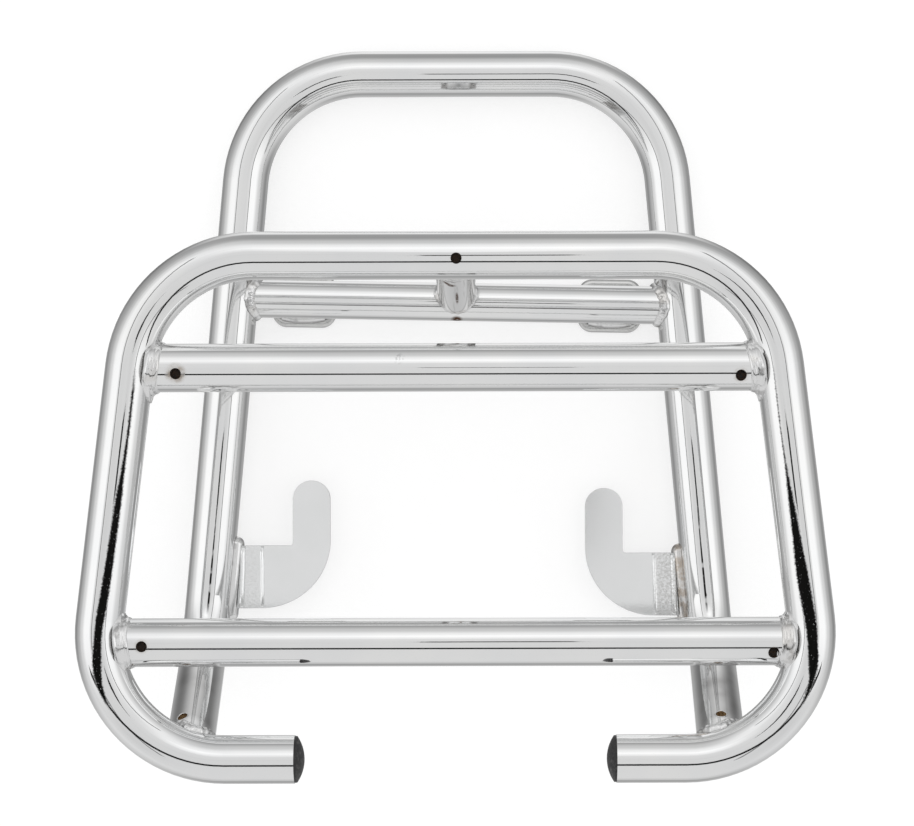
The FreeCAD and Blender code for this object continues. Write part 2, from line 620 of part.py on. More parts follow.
def make_end_plug(label, side):
    """A domed plastic plug with a hollow stem, pushed into the open arm."""
    body = new_body(label)
    turn = "0" if side > 0 else "180"
    profile = new_sketch(body, "profile", "XY_Plane", f"{side} * {ARM_END_X}", ARM_Y, CARRIER_Z,
                         Vector(0, 0, 1), turn)
    head_radius = "(Sizes.plug_head_diameter / 2)"
    stem_radius = "(Sizes.tube_od / 2 - Sizes.tube_wall - Sizes.plug_clearance)"
    lip, dome, length = size("plug_lip"), size("plug_dome"), size("plug_stem_length")
    head, stem, wall = value(head_radius), value(stem_radius), size("plug_stem_wall")
    ball = (dome ** 2 + head ** 2) / (2 * dome)
    centre = (-lip - dome + ball, 0)
    spread = math.degrees(math.asin(head / ball))
    crown = add_arc(profile, centre, ball, 180 - spread, 180)
    rim = add_line(profile, (-lip, head), (0, head))
    shoulder = add_line(profile, (0, head), (0, stem))
    outside = add_line(profile, (0, stem), (length, stem))
    end = add_line(profile, (length, stem), (length, stem - wall))
    inside = add_line(profile, (length, stem - wall), (0, stem - wall))
    web = add_line(profile, (0, stem - wall), (0, 0))
    axis = add_line(profile, (0, 0), (-lip - dome, 0))
    chain = [rim, shoulder, outside, end, inside, web, axis]
    for first, second in zip(chain, chain[1:]):
        relate(profile, "Coincident", first, 2, second, 1)
    relate(profile, "Coincident", crown, 1, rim, 1)
    relate(profile, "Coincident", crown, 2, axis, 2)
    relate(profile, "PointOnObject", crown, 3, -1)
    relate(profile, "Coincident", web, 2, -1, 1)
    for level in (rim, outside, inside, axis):
        relate(profile, "Horizontal", level)
    for upright in (shoulder, end, web):
        relate(profile, "Vertical", upright)
    dimension(profile, "lip", "DistanceX", rim, 1, rim, 2, expression="Sizes.plug_lip")
    dimension(profile, "dome", "DistanceX", crown, 2, crown, 1, expression="Sizes.plug_dome")
    dimension(profile, "head", "DistanceY", -1, 1, rim, 2, expression=head_radius)
    dimension(profile, "stem", "DistanceY", -1, 1, outside, 1, expression=stem_radius)
    dimension(profile, "stem_length", "DistanceX", outside, 1, outside, 2, expression="Sizes.plug_stem_length")
    dimension(profile, "stem_wall", "DistanceY", end, 2, end, 1, expression="Sizes.plug_stem_wall")
    solid = body.newObject("PartDesign::Revolution", f"{label}_turned")
    solid.Profile = profile
    solid.ReferenceAxis = (profile, ["H_Axis"])
    solid.Angle = 360
    return body


# Weld beads

def line_distance(origin, direction):
    """Distance from the centre line of a straight tube."""
    return lambda place: (place - origin).cross(direction).Length


def carrier_distance(side, in_plan=False):
    """Distance from the centre line of the carrier loop, or from the upright wall through it."""
    flare, radius, height = math.radians(size("side_flare")), size("bend_radius"), value(CARRIER_Z)
    upper = Vector(value(FRONT_BEND_X), value(FRONT_Y) - radius, 0)
    lower = Vector(value(ARM_BEND_X), value(ARM_Y) + radius, 0)
    outward = Vector(math.cos(flare), math.sin(flare), 0)
    down = Vector(math.sin(flare), -math.cos(flare), 0)

    def distance(place):
        spot = Vector(side * place.x, place.y, 0)
        if (spot - upper).dot(down) < 0:
            flat = (spot - upper).Length
        elif (spot - lower).dot(down) < 0:
            flat = (spot - lower).dot(outward)
        elif spot.x > lower.x:
            flat = (spot - lower).Length
        else:
            flat = lower.y - spot.y
        return abs(flat - radius) if in_plan else math.hypot(flat - radius, place.z - height)

    return distance


def seam_spline(foot, direction, ring_radius, tube_distance, target):
    """Closed spline round a branch axis at a set distance from the tube that it lands on."""
    steps = 16
    side = direction.cross(Vector(0, 0, 1))
    if side.Length < 0.5:
        side = direction.cross(Vector(0, 1, 0))
    side.normalize()
    other = direction.cross(side)
    points = []
    for step in range(steps):
        angle = 2 * math.pi * step / steps
        start = foot + side * (ring_radius * math.cos(angle)) + other * (ring_radius * math.sin(angle))
        near, far = 0.0, 4 * target
        for _ in range(40):
            middle = (near + far) / 2
            if tube_distance(start + direction * middle) < target:
                near = middle
            else:
                far = middle
        points.append(start + direction * near)
    spline = Part.BSplineCurve()
    spline.interpolate(Points=points, PeriodicFlag=True)
    return spline


def bead_along(spline, radius, branch):
    """Round bead swept along a closed spline, kept upright to the branch that it runs round."""
    start, tangent = spline.value(spline.FirstParameter), spline.tangent(spline.FirstParameter)[0]
    sweep = Part.BRepOffsetAPI.MakePipeShell(Part.Wire([spline.toShape()]))
    sweep.setBiNormalMode(branch)
    sweep.add(Part.Wire([Part.makeCircle(radius, start, tangent)]), False, False)
    sweep.build()
    sweep.makeSolid()
    return sweep.shape()


def add_weld(label, shape):
    """A weld bead as a piece of its own."""
    weld = doc.addObject("Part::Feature", label)
    weld.Label = label
    weld.Shape = shape
    weld.Placement = Placement()
    return weld


def make_tube_weld(label, foot, direction, bar_radius, tube_distance, target, tube_solid):
    """The bead round a fish-mouthed joint, hollowed by both tubes."""
    spline = seam_spline(foot, direction, bar_radius - size("bead_sink_bar"), tube_distance,
                         target - size("bead_sink_tube"))
    bead = bead_along(spline, size("bead_radius"), direction)
    bar_solid = Part.makeCylinder(bar_radius, 4 * size("tube_od"), foot, direction)
    return add_weld(label, bead.cut(tube_solid).cut(bar_solid))


def make_ring_weld(label, foot, side, bar_radius, tube_solid):
    """The fat bead that rings a square-cut bar and bridges to the tube beside it."""
    direction = Vector(-side, 0, 0)
    spline = seam_spline(foot, direction, bar_radius - size("ring_bead_sink"), carrier_distance(side, in_plan=True),
                         size("ring_bead_setoff"))
    bead = bead_along(spline, size("ring_bead_radius"), direction)
    bar_end = foot + direction * size("bar_end_setoff")
    bar_solid = Part.makeCylinder(bar_radius, 4 * size("tube_od"), bar_end, direction)
    return add_weld(label, bead.cut(tube_solid).cut(bar_solid))


def straight_tube(point, direction, radius):
    """A straight length of solid rod centred on a point, used to hollow the beads."""
    length = 6 * size("tube_od")
    return Part.makeCylinder(radius, length, point - direction * (length / 2), direction)


def rod_along(path, start):
    """Solid rod as thick as the main tube, along a path that starts square to the middle plane."""
    circle = Part.makeCircle(value(TUBE_RADIUS), start, Vector(1, 0, 0))
    return path.makePipe(Part.Face(Part.Wire([circle])))


def carrier_rods(carrier):
    """Both halves of the carrier loop as solid rod, used to hollow the beads that lie on it."""
    path = Part.Wire(Part.__sortEdges__(carrier.getObject("carrier_loop_path").Shape.Edges))
    right = rod_along(path, Vector(0, value(FRONT_Y), value(CARRIER_Z)))
    return {1: right, -1: right.mirror(Vector(0, 0, 0), Vector(1, 0, 0))}


def make_carrier_bar_welds(rods):
    """Beads at both ends of the carrier's crossbars."""
    tube, height = value(TUBE_RADIUS), value(CARRIER_Z)
    welds = []
    for label, place in (("upper_crossbar_weld", UPPER_Y), ("lower_crossbar_weld", LOWER_Y)):
        for word, side in (("left", -1), ("right", 1)):
            foot = Vector(side * value(carrier_x(place)), value(place), height)
            welds.append(make_ring_weld(f"{label}_{word}", foot, side, tube, rods[side]))
    return welds


def make_support_bar_welds():
    """Beads at both ends of the support crossbar."""
    tube, brace = value(TUBE_RADIUS), value(BRACE_RADIUS)
    flare, tilt = math.radians(size("leg_flare")), math.radians(size("support_bar_tilt"))
    welds = []
    for word, side in (("left", -1), ("right", 1)):
        reach = side * value(leg_x(BRACE_Y))
        anchor = Vector(reach, value(BRACE_Y), value(SUPPORT_Z))
        foot = anchor - Vector(0, reach * math.tan(tilt), 0)
        inward = Vector(-side * math.cos(tilt), side * math.sin(tilt), 0)
        along = Vector(side * math.sin(flare), -math.cos(flare), 0)
        welds.append(make_tube_weld(f"support_crossbar_weld_{word}", foot, inward, brace,
                                    line_distance(anchor, along), tube, straight_tube(anchor, along, tube)))
    return welds


def make_stub_welds():
    """Beads at the top and the foot of the centre stub."""
    tube, brace = value(TUBE_RADIUS), value(BRACE_RADIUS)
    tilt = math.radians(size("support_bar_tilt"))
    top = Vector(0, value(FRONT_Y), value(CARRIER_Z))
    foot = Vector(0, value(BRACE_Y) + size("stub_rise"), value(SUPPORT_Z))
    downward = (foot - top).normalize()
    across = Vector(1, 0, 0)
    bar = Vector(math.cos(tilt), -math.sin(tilt), 0)
    bar_middle = Vector(0, value(BRACE_Y), value(SUPPORT_Z))
    upper = make_tube_weld("stub_weld_top", top, downward, brace, line_distance(top, across), tube,
                           straight_tube(top, across, tube))
    lower = make_tube_weld("stub_weld_foot", foot, downward * -1, brace, line_distance(bar_middle, bar), brace,
                           straight_tube(bar_middle, bar, brace))
    return [upper, lower]


def make_leg_welds(route, rods):
    """Beads where the legs land on the bends of the carrier arms."""
    tube = value(TUBE_RADIUS)
    welds = []
    for word, side in (("left", -1), ("right", 1)):
        foot = Vector(side * route["landing"].x, route["landing"].y, route["landing"].z)
        back = Vector(-side * route["direction"].x, -route["direction"].y, -route["direction"].z)
        welds.append(make_tube_weld(f"leg_weld_{word}", foot, back, tube, carrier_distance(side), tube, rods[side]))
    return welds


def make_hook_welds(hooks, paths):
    """Beads that wrap the end of each hook's strap where it meets the leg."""
    radius, overrun = size("hook_bead_radius"), size("hook_bead_overrun")
    tube = value(TUBE_RADIUS)
    flare = math.radians(size("leg_flare"))
    welds = []
    for hook, word, side, slot in ((hooks[0], "left", -1, "hook_slot_left"), (hooks[1], "right", 1, "hook_slot_right")):
        slot_y = value(ARM_Y) + size(slot)
        anchor = Vector(side * value(leg_x(f"({slot_y})")), slot_y, value(SUPPORT_Z))
        along = Vector(side * math.sin(flare), -math.cos(flare), 0)
        inward = Vector(-side * math.cos(flare), -math.sin(flare), 0)
        start = anchor + inward * tube - along * overrun
        length = size("hook_strap_height") + 2 * overrun
        rod = Part.makeCylinder(radius, length, start, along)
        for end in (start, start + along * length):
            rod = rod.fuse(Part.makeSphere(radius, end))
        leg = rod_along(paths[side].Shape, Vector(0, value(NOSE_Y), value(SUPPORT_Z)))
        welds.append(add_weld(f"hook_weld_{word}", rod.removeSplitter().cut(leg).cut(hook.Shape)))
    return welds


def make_plate_welds(plates):
    """Short bowed beads along the lower edge of the support crossbar, on the mount plates."""
    brace, radius = value(BRACE_RADIUS), size("plate_bead_radius")
    tilt = math.radians(size("support_bar_tilt"))
    bar = Vector(math.cos(tilt), -math.sin(tilt), 0)
    outward = Vector(-math.sin(tilt), -math.cos(tilt), 0)
    middle = Vector(0, value(BRACE_Y), value(SUPPORT_Z))
    height = size("plate_thickness") + radius / 2 - value(SUPPORT_Z)
    reach = math.sqrt(brace ** 2 - height ** 2)
    half = size("plate_bead_length") / 2
    welds = []
    for plate, word, side in ((plates[0], "left", -1), (plates[1], "right", 1)):
        centre = middle + bar * (side * value(PLATE_X) / math.cos(tilt)) + Vector(0, 0, height)
        bow = size("plate_bead_bow")
        ends = [centre + bar * shift + outward * (reach + lift - bow)
                for shift, lift in ((-half, 0), (0, bow), (half, 0))]
        path = Part.Arc(*ends)
        ring = Part.Wire([Part.makeCircle(radius, ends[0], path.tangent(path.FirstParameter)[0])])
        rod = Part.Wire([path.toShape()]).makePipeShell([ring], True, True)
        crossbar = straight_tube(centre - Vector(0, 0, height), bar, brace)
        welds.append(add_weld(f"mount_plate_weld_{word}", rod.cut(crossbar).cut(plate.Shape)))
    return welds


# Assembly

def build():
    route = leg_route()
    paths = make_support_paths(route)
    parts = [
        make_carrier_loop(),
        make_crossbar("upper_crossbar", UPPER_Y, [
            ("left_vent", -1, "Sizes.upper_vent_inset_left", "Sizes.upper_vent_drop_left"),
            ("right_vent", 1, "Sizes.upper_vent_inset_right", "Sizes.upper_vent_drop_right")]),
        make_crossbar("lower_crossbar", LOWER_Y, [
            ("left_vent", -1, "Sizes.lower_vent_inset_left", "Sizes.lower_vent_drop_left"),
            ("right_vent", 1, "Sizes.lower_vent_inset_right", "Sizes.lower_vent_drop_right")]),
        make_support_loop(route, paths[1]),
        make_support_crossbar(),
        make_centre_stub(),
        make_end_plug("end_plug_left", -1),
        make_end_plug("end_plug_right", 1),
    ]
    plates = [make_mount_plate("mount_plate_left", -1), make_mount_plate("mount_plate_right", 1)]
    hooks = [make_hook("hook_left", -1, "Sizes.hook_slot_left", paths[-1]),
             make_hook("hook_right", 1, "Sizes.hook_slot_right", paths[1])]
    doc.recompute()
    rods = carrier_rods(parts[0])
    welds = make_carrier_bar_welds(rods) + make_support_bar_welds() + make_stub_welds()
    welds += make_leg_welds(route, rods)
    welds += make_hook_welds(hooks, paths) + make_plate_welds(plates)
    doc.recompute()
    return parts + plates + hooks + welds


def check(parts):
    """Stop unless every object recomputed and every piece is a sound solid."""
    for item in doc.Objects:
        if "Invalid" in item.State or "Error" in item.State:
            raise RuntimeError(f"{item.Label} did not recompute")
    for item in parts:
        if item.Shape.isNull() or not item.Shape.isValid() or not item.Shape.Solids:
            raise RuntimeError(f"{item.Label} is not a sound solid")


def export(parts):
    os.makedirs("parts", exist_ok=True)
    for item in parts:
        item.Shape.exportStep(f"parts/{item.Label}.step")


pieces = build()
check(pieces)
export(pieces)
for piece in pieces:
    print(piece.Label, len(piece.Shape.Solids), round(piece.Shape.Volume), "mm3")
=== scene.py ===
import json
import math
import random

import bpy
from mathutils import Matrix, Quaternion, Vector, noise


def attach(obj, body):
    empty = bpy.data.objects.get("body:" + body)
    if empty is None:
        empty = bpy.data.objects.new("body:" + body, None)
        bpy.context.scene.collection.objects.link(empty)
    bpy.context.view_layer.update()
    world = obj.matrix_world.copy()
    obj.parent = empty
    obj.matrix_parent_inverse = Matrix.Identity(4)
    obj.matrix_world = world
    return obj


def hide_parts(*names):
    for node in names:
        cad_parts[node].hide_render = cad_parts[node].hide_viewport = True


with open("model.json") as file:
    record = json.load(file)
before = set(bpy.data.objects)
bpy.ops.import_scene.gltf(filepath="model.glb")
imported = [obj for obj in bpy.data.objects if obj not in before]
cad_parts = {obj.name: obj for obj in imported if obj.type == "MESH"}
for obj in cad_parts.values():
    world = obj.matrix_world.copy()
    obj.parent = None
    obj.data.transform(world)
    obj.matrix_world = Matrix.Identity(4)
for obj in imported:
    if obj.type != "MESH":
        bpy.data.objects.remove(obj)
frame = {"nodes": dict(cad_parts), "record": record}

MM = 0.001

# Sizes of the rack in millimetres, as in the part's source
TUBE_OD, BRACE_OD, TUBE_WALL = 22.0, 18.5, 1.5
BEND_RADIUS = 57.0
OVERALL_LENGTH, LEVEL_SPACING = 347.2, 80.0
CARRIER_LENGTH, CARRIER_FRONT_WIDTH, SIDE_FLARE = 228.9, 283.5, 6.8
UPPER_BAR_SETBACK, LOWER_BAR_SETBACK = 50.9, 53.2
SUPPORT_WIDTH, LEG_FLARE = 195.9, 5.2
LEG_BEND_RADIUS, LEG_LEAN, LEG_LANDING = 45.0, 62.0, 121.3
SUPPORT_BAR_SETBACK, SUPPORT_BAR_TILT, STUB_RISE = 111.0, 1.1, 2.0
VENT_BORE, LEG_VENT_DISTANCE = 5.0, 15.5
HOOK_REACH, HOOK_OUTER_RADIUS = 57.0, 33.2
HOOK_SLOT_LEFT, HOOK_SLOT_RIGHT, HOOK_STRAP = 95.8, 91.8, 30.5

TUBE_RADIUS, BRACE_RADIUS = TUBE_OD / 2, BRACE_OD / 2
SUPPORT_Z = TUBE_RADIUS
CARRIER_Z = SUPPORT_Z + LEVEL_SPACING
NOSE_Y = (OVERALL_LENGTH - TUBE_OD) / 2
ARM_Y = -NOSE_Y
FRONT_Y = ARM_Y + CARRIER_LENGTH
UPPER_Y = FRONT_Y - UPPER_BAR_SETBACK
LOWER_Y = ARM_Y + LOWER_BAR_SETBACK
BRACE_Y = NOSE_Y - SUPPORT_BAR_SETBACK
FLARE = math.radians(SIDE_FLARE)


def side_x(y):
    """Half width of the bed's centre line on its straight side."""
    return CARRIER_FRONT_WIDTH / 2 + (FRONT_Y - y) * math.tan(FLARE)


def leg_x(y):
    """Half width of the support loop's centre line."""
    return SUPPORT_WIDTH / 2 + (NOSE_Y - y) * math.tan(math.radians(LEG_FLARE))


FRONT_BEND = Vector((CARRIER_FRONT_WIDTH / 2 - BEND_RADIUS * math.tan(math.radians(45) - FLARE / 2),
                     FRONT_Y - BEND_RADIUS, 0))
ARM_BEND = Vector((side_x(ARM_Y) - BEND_RADIUS * math.tan(math.radians(45) + FLARE / 2), ARM_Y + BEND_RADIUS, 0))

# The photograph: the optical axis meets the bed's plane right of and below the picture's middle
PICTURE_WIDTH, PICTURE_HEIGHT = 914, 826
AXIS_COLUMN, AXIS_ROW = 490, 500
MIDLINE_COLUMN, CENTRE_ROW = 455, 401.11
PIXELS_PER_MM = 2.2
CAMERA_DISTANCE = 1111.0
CAMERA_ROLL = -0.15
CAMERA_X = (AXIS_COLUMN - MIDLINE_COLUMN) / PIXELS_PER_MM
CAMERA_Y = -(AXIS_ROW - CENTRE_ROW) / PIXELS_PER_MM
SENSOR = 36.0


# Node helpers

class Nodes:
    """Short calls for building one material's node tree."""

    def __init__(self, tree):
        self.tree = tree

    def add(self, kind, **settings):
        node = self.tree.nodes.new(kind)
        for name, setting in settings.items():
            setattr(node, name, setting)
        return node

    def link(self, source, target):
        self.tree.links.new(source, target)

    def math(self, operation, first, second=None, third=None, clamp=False):
        node = self.add("ShaderNodeMath", operation=operation, use_clamp=clamp)
        for socket, feed in zip(node.inputs, (first, second, third)):
            if feed is None:
                continue
            if isinstance(feed, (int, float)):
                socket.default_value = feed
            else:
                self.link(feed, socket)
        return node.outputs[0]

    def noise(self, vector, scale, detail=2.0, roughness=0.5):
        node = self.add("ShaderNodeTexNoise")
        node.inputs["Scale"].default_value = scale
        node.inputs["Detail"].default_value = detail
        node.inputs["Roughness"].default_value = roughness
        self.link(vector, node.inputs["Vector"])
        return node.outputs["Fac"]

    def remap(self, feed, low, high, to_low, to_high, smooth=False):
        node = self.add("ShaderNodeMapRange", interpolation_type="SMOOTHSTEP" if smooth else "LINEAR")
        for name, number in (("From Min", low), ("From Max", high), ("To Min", to_low), ("To Max", to_high)):
            node.inputs[name].default_value = number
        self.link(feed, node.inputs["Value"])
        return node.outputs["Result"]

    def mix_color(self, factor, first, second):
        node = self.add("ShaderNodeMix", data_type="RGBA")
        if isinstance(factor, (int, float)):
            node.inputs["Factor"].default_value = factor
        else:
            self.link(factor, node.inputs["Factor"])
        for socket, feed in ((node.inputs[6], first), (node.inputs[7], second)):
            if isinstance(feed, tuple):
                socket.default_value = (*feed, 1.0)
            else:
                self.link(feed, socket)
        return node.outputs[2]

    def curve(self, feed, low, high, stops, span):
        """A smooth curve through (feed, value) stops; the values lie between -span and span."""
        node = self.add("ShaderNodeFloatCurve")
        line = node.mapping.curves[0]
        places = [((at - low) / (high - low), 0.5 + value / span / 2) for at, value in stops]
        line.points[0].location = places[0]
        line.points[1].location = places[-1]
        for spot in places[1:-1]:
            line.points.new(*spot)
        node.mapping.update()
        self.link(self.remap(feed, low, high, 0.0, 1.0), node.inputs["Value"])
        return self.remap(node.outputs["Value"], 0.0, 1.0, -span, span)

    def near(self, place, point, inner, outer):
        """1 within inner of a point, falling to 0 at outer, all in metres."""
        node = self.add("ShaderNodeVectorMath", operation="DISTANCE")
        self.link(place, node.inputs[0])
        node.inputs[1].default_value = point
        return self.remap(node.outputs["Value"], inner, outer, 1.0, 0.0, smooth=True)


def crevice_shade(nodes, reach):
    """Mask for painted shade: 1 deep in a corner, 0 in the open."""
    node = nodes.add("ShaderNodeAmbientOcclusion", samples=6)
    node.inputs["Distance"].default_value = reach
    return nodes.remap(node.outputs["AO"], 0.25, 0.85, 1.0, 0.0, smooth=True)


def new_material(name):
    material = bpy.data.materials.new(name)
    material.use_nodes = True
    nodes = Nodes(material.node_tree)
    shader = material.node_tree.nodes["Principled BSDF"]
    coordinates = nodes.add("ShaderNodeTexCoord").outputs["Object"]
    return material, nodes, shader, coordinates


def bump(nodes, shader, height, strength, distance):
    node = nodes.add("ShaderNodeBump")
    node.inputs["Strength"].default_value = strength
    node.inputs["Distance"].default_value = distance
    nodes.link(height, node.inputs["Height"])
    nodes.link(node.outputs["Normal"], shader.inputs["Normal"])
    return node


# Places of the marks on the plating, in metres

def vent_places():
    """Mouths of the vents on top of the level tubes, each with how dirty its rim is."""
    upper_x, lower_x = side_x(UPPER_Y), side_x(LOWER_Y)
    places = []
    for x, y, drop, dirt in ((0.9, FRONT_Y, 2.3, 0.1), (22.2 - upper_x, UPPER_Y, 3.1, 1.0),
                             (upper_x - 18.6, UPPER_Y, 4.4, 0.5), (21.5 - lower_x, LOWER_Y, 1.2, 0.35),
                             (lower_x - 19.1, LOWER_Y, 4.6, 0.25)):
        places.append((Vector((x, y - drop, CARRIER_Z + math.sqrt(TUBE_RADIUS ** 2 - drop ** 2))), dirt))
    return places


# The strip of painted dark reflection along the sides' crests, in metres: its place inwards from the side's centre
# line, and its half width, along Y
STRIP_CENTRE = ((-0.150, -0.0040), (-0.136, -0.0033), (-0.127, -0.0024), (-0.118, -0.0008), (-0.108, 0.0009),
                (-0.095, 0.00175), (-0.081, 0.0025), (-0.063, 0.0031), (-0.045, 0.0036), (-0.027, 0.0041),
                (-0.009, 0.0044), (0.020, 0.0040))
STRIP_LEFT = ((-0.150, 0.0001), (-0.136, 0.0006), (-0.127, 0.0013), (-0.118, 0.0020), (-0.108, 0.0017),
              (-0.095, 0.0019), (-0.063, 0.0016), (-0.045, 0.0013), (-0.027, 0.0007), (0.020, 0.0005))
STRIP_RIGHT = ((-0.150, 0.0001), (-0.136, 0.00045), (-0.127, 0.0010), (-0.118, 0.0022), (-0.108, 0.0023),
               (-0.095, 0.0026), (-0.081, 0.0026), (-0.063, 0.0018), (-0.045, 0.0011), (-0.027, 0.0003),
               (0.020, 0.0002))


# Materials

def make_chrome():
    """Plated tube: mirror bright, with faint drawing ripples, grime at the vents, painted shade in its corners, and
    painted dark reflections along the crests of the sides (pitted there) and the legs, on the legs' steep runs and on
    the stub's flanks.
    """
    material, nodes, shader, place = new_material("plated_tube")
    shader.inputs["Metallic"].default_value = 1.0
    split = nodes.add("ShaderNodeSeparateXYZ")
    nodes.link(place, split.inputs[0])
    x, y, z = split.outputs
    x_abs = nodes.math("ABSOLUTE", x)

    # Signed distance inwards from the centre line of the bed's side and lower bend
    slope = nodes.math("MULTIPLY", nodes.math("SUBTRACT", FRONT_Y * MM, y), math.tan(FLARE))
    straight = nodes.math("SUBTRACT", nodes.math("ADD", slope, CARRIER_FRONT_WIDTH / 2 * MM), x_abs)
    bend_x = nodes.math("SUBTRACT", x_abs, ARM_BEND.x * MM)
    bend_y = nodes.math("SUBTRACT", y, ARM_BEND.y * MM)
    reach = nodes.math("SQRT", nodes.math("ADD", nodes.math("MULTIPLY", bend_x, bend_x),
                                          nodes.math("MULTIPLY", bend_y, bend_y)))
    bent = nodes.math("SUBTRACT", BEND_RADIUS * MM, reach)
    bend_starts = (ARM_BEND.y + BEND_RADIUS * math.sin(FLARE)) * MM
    on_bend = nodes.math("LESS_THAN", y, bend_starts)
    inward = nodes.math("ADD", nodes.math("MULTIPLY", on_bend, bent),
                        nodes.math("MULTIPLY", nodes.math("SUBTRACT", 1.0, on_bend), straight))

    # Painted dark reflection in a strip along the crest of the side, widest by the lower crossbar, with ragged
    # speckled edges; there the plating is also pitted and rougher
    grain = nodes.noise(place, 1100.0, detail=3.0, roughness=0.7)
    low, high = STRIP_CENTRE[0][0], STRIP_CENTRE[-1][0]
    centre = nodes.curve(y, low, high, STRIP_CENTRE, 0.008)
    wide = nodes.curve(y, low, high, STRIP_LEFT, 0.004)
    wide_right = nodes.curve(y, low, high, STRIP_RIGHT, 0.004)
    on_right = nodes.math("GREATER_THAN", x, 0.0)
    wide = nodes.math("ADD", wide, nodes.math("MULTIPLY", on_right, nodes.math("SUBTRACT", wide_right, wide)))
    ragged = nodes.remap(grain, 0.3, 0.7, -0.00035, 0.00035)
    off = nodes.math("ADD", nodes.math("ABSOLUTE", nodes.math("SUBTRACT", inward, centre)), ragged)
    strip = nodes.remap(nodes.math("SUBTRACT", off, wide), -0.0004, 0.0005, 1.0, 0.0, smooth=True)
    strip = nodes.math("MULTIPLY", strip, nodes.remap(y, 0.016, 0.004, 0.0, 1.0))
    strip = nodes.math("MULTIPLY", strip, nodes.remap(y, -0.140, -0.134, 0.0, 1.0))
    strip = nodes.math("MULTIPLY", strip, nodes.math("GREATER_THAN", z, (CARRIER_Z + 2) * MM))
    strip = nodes.math("MULTIPLY", strip, nodes.math("GREATER_THAN", x_abs, 0.105))
    painted_reflection_and_pits = nodes.math("MULTIPLY", nodes.remap(grain, 0.67, 0.72, 1.0, 0.2), strip)

    # A finer painted dark reflection along the rear of each leg's crest
    lean = nodes.math("MULTIPLY", nodes.math("SUBTRACT", NOSE_Y * MM, y), math.tan(math.radians(LEG_FLARE)))
    off_leg = nodes.math("SUBTRACT", nodes.math("ADD", lean, SUPPORT_WIDTH / 2 * MM), x_abs)
    off_leg = nodes.math("ABSOLUTE", nodes.math("SUBTRACT", off_leg, 0.0012))
    thick = nodes.remap(y, -0.040, -0.080, 0.0, 0.00045)
    painted_leg_line = nodes.remap(nodes.math("SUBTRACT", off_leg, thick), -0.0001, 0.00015, 1.0, 0.0)
    painted_leg_line = nodes.math("MULTIPLY", painted_leg_line, nodes.remap(y, -0.040, -0.050, 0.0, 1.0))
    painted_leg_line = nodes.math("MULTIPLY", painted_leg_line, nodes.remap(y, -0.100, -0.094, 0.0, 1.0))
    painted_leg_line = nodes.math("MULTIPLY", painted_leg_line, nodes.math("LESS_THAN", z, 2.2 * TUBE_OD * MM))
    painted_leg_line = nodes.math("MULTIPLY", painted_leg_line, nodes.remap(nodes.noise(place, 260.0), 0.35, 0.5, 0.3, 1.0))
    painted_reflection_and_pits = nodes.math("MAXIMUM", painted_reflection_and_pits, painted_leg_line)

    # Brown grime round the vents and rust at the stub
    stain = None
    for mouth, dirt in vent_places():
        ring = nodes.math("MULTIPLY", nodes.near(place, mouth * MM, 0.0024, 0.0024 + 0.0028 * dirt + 0.0006), dirt)
        stain = ring if stain is None else nodes.math("MAXIMUM", stain, ring)
    patchy = nodes.remap(nodes.noise(place, 380.0, detail=4.0), 0.40, 0.60, 0.35, 1.0)
    stain = nodes.math("MULTIPLY", stain, patchy)
    rust = None
    stub_foot = Vector((0.0, BRACE_Y - BRACE_RADIUS + 1.0, SUPPORT_Z + 3.0)) * MM
    squash = nodes.add("ShaderNodeMapping")
    squash.inputs["Scale"].default_value = (1.0, 0.3, 0.05)
    nodes.link(place, squash.inputs["Vector"])
    marks = ((place, stub_foot, 0.0035), (place, (-0.0042, 0.0548, 0.0740), 0.0028),
             (place, (-0.0020, 0.0542, 0.0725), 0.0030), (squash.outputs[0], (0.0006, 0.0151, 0.00245), 0.0010))
    for coordinates, spot, size in marks:
        mark = nodes.near(coordinates, spot, size * 0.4, size)
        rust = mark if rust is None else nodes.math("MAXIMUM", rust, mark)
    rust = nodes.math("MULTIPLY", rust, nodes.remap(nodes.noise(place, 700.0, detail=4.0), 0.32, 0.45, 0.2, 1.0))

    cloud = nodes.remap(nodes.noise(place, 35.0, detail=3.0), 0.3, 0.7, 0.0, 1.0)
    color = nodes.mix_color(cloud, (0.885, 0.89, 0.895), (0.925, 0.925, 0.92))
    # Painted dark reflection, nearly black, in the crest strip and in the line along the legs
    color = nodes.mix_color(painted_reflection_and_pits, color, (0.009, 0.009, 0.0085))
    color = nodes.mix_color(nodes.math("MULTIPLY", stain, 0.8), color, (0.36, 0.29, 0.22))
    color = nodes.mix_color(rust, color, (0.10, 0.045, 0.02))
    smudge = nodes.near(place, (-0.0250, 0.0190, CARRIER_Z * MM + 0.0104), 0.0008, 0.0034)
    smudge = nodes.math("MULTIPLY", smudge, nodes.remap(nodes.noise(place, 600.0, detail=4.0), 0.45, 0.60, 0.0, 0.5))
    color = nodes.mix_color(smudge, color, (0.45, 0.45, 0.45))
    # Painted shade in corners and joints
    color = nodes.mix_color(nodes.math("MULTIPLY", crevice_shade(nodes, 0.0035), 0.75), color, (0.16, 0.15, 0.14))

    # Painted dark reflection on the upper side of the legs' steep runs, in blotches
    facing = nodes.add("ShaderNodeSeparateXYZ")
    nodes.link(nodes.add("ShaderNodeNewGeometry").outputs["Normal"], facing.inputs[0])
    painted_leg_reflection = nodes.remap(nodes.noise(place, 45.0, detail=2.0), 0.38, 0.62, 0.45, 0.85, smooth=True)
    for feed, start, full in ((x_abs, 0.104, 0.107), (y, -0.118, -0.130), (z, 0.016, 0.030), (z, 0.086, 0.082),
                              (facing.outputs[2], 0.05, 0.40)):
        painted_leg_reflection = nodes.math("MULTIPLY", painted_leg_reflection, nodes.remap(feed, start, full, 0.0, 1.0))
    color = nodes.mix_color(painted_leg_reflection, color, (0.42, 0.415, 0.41))
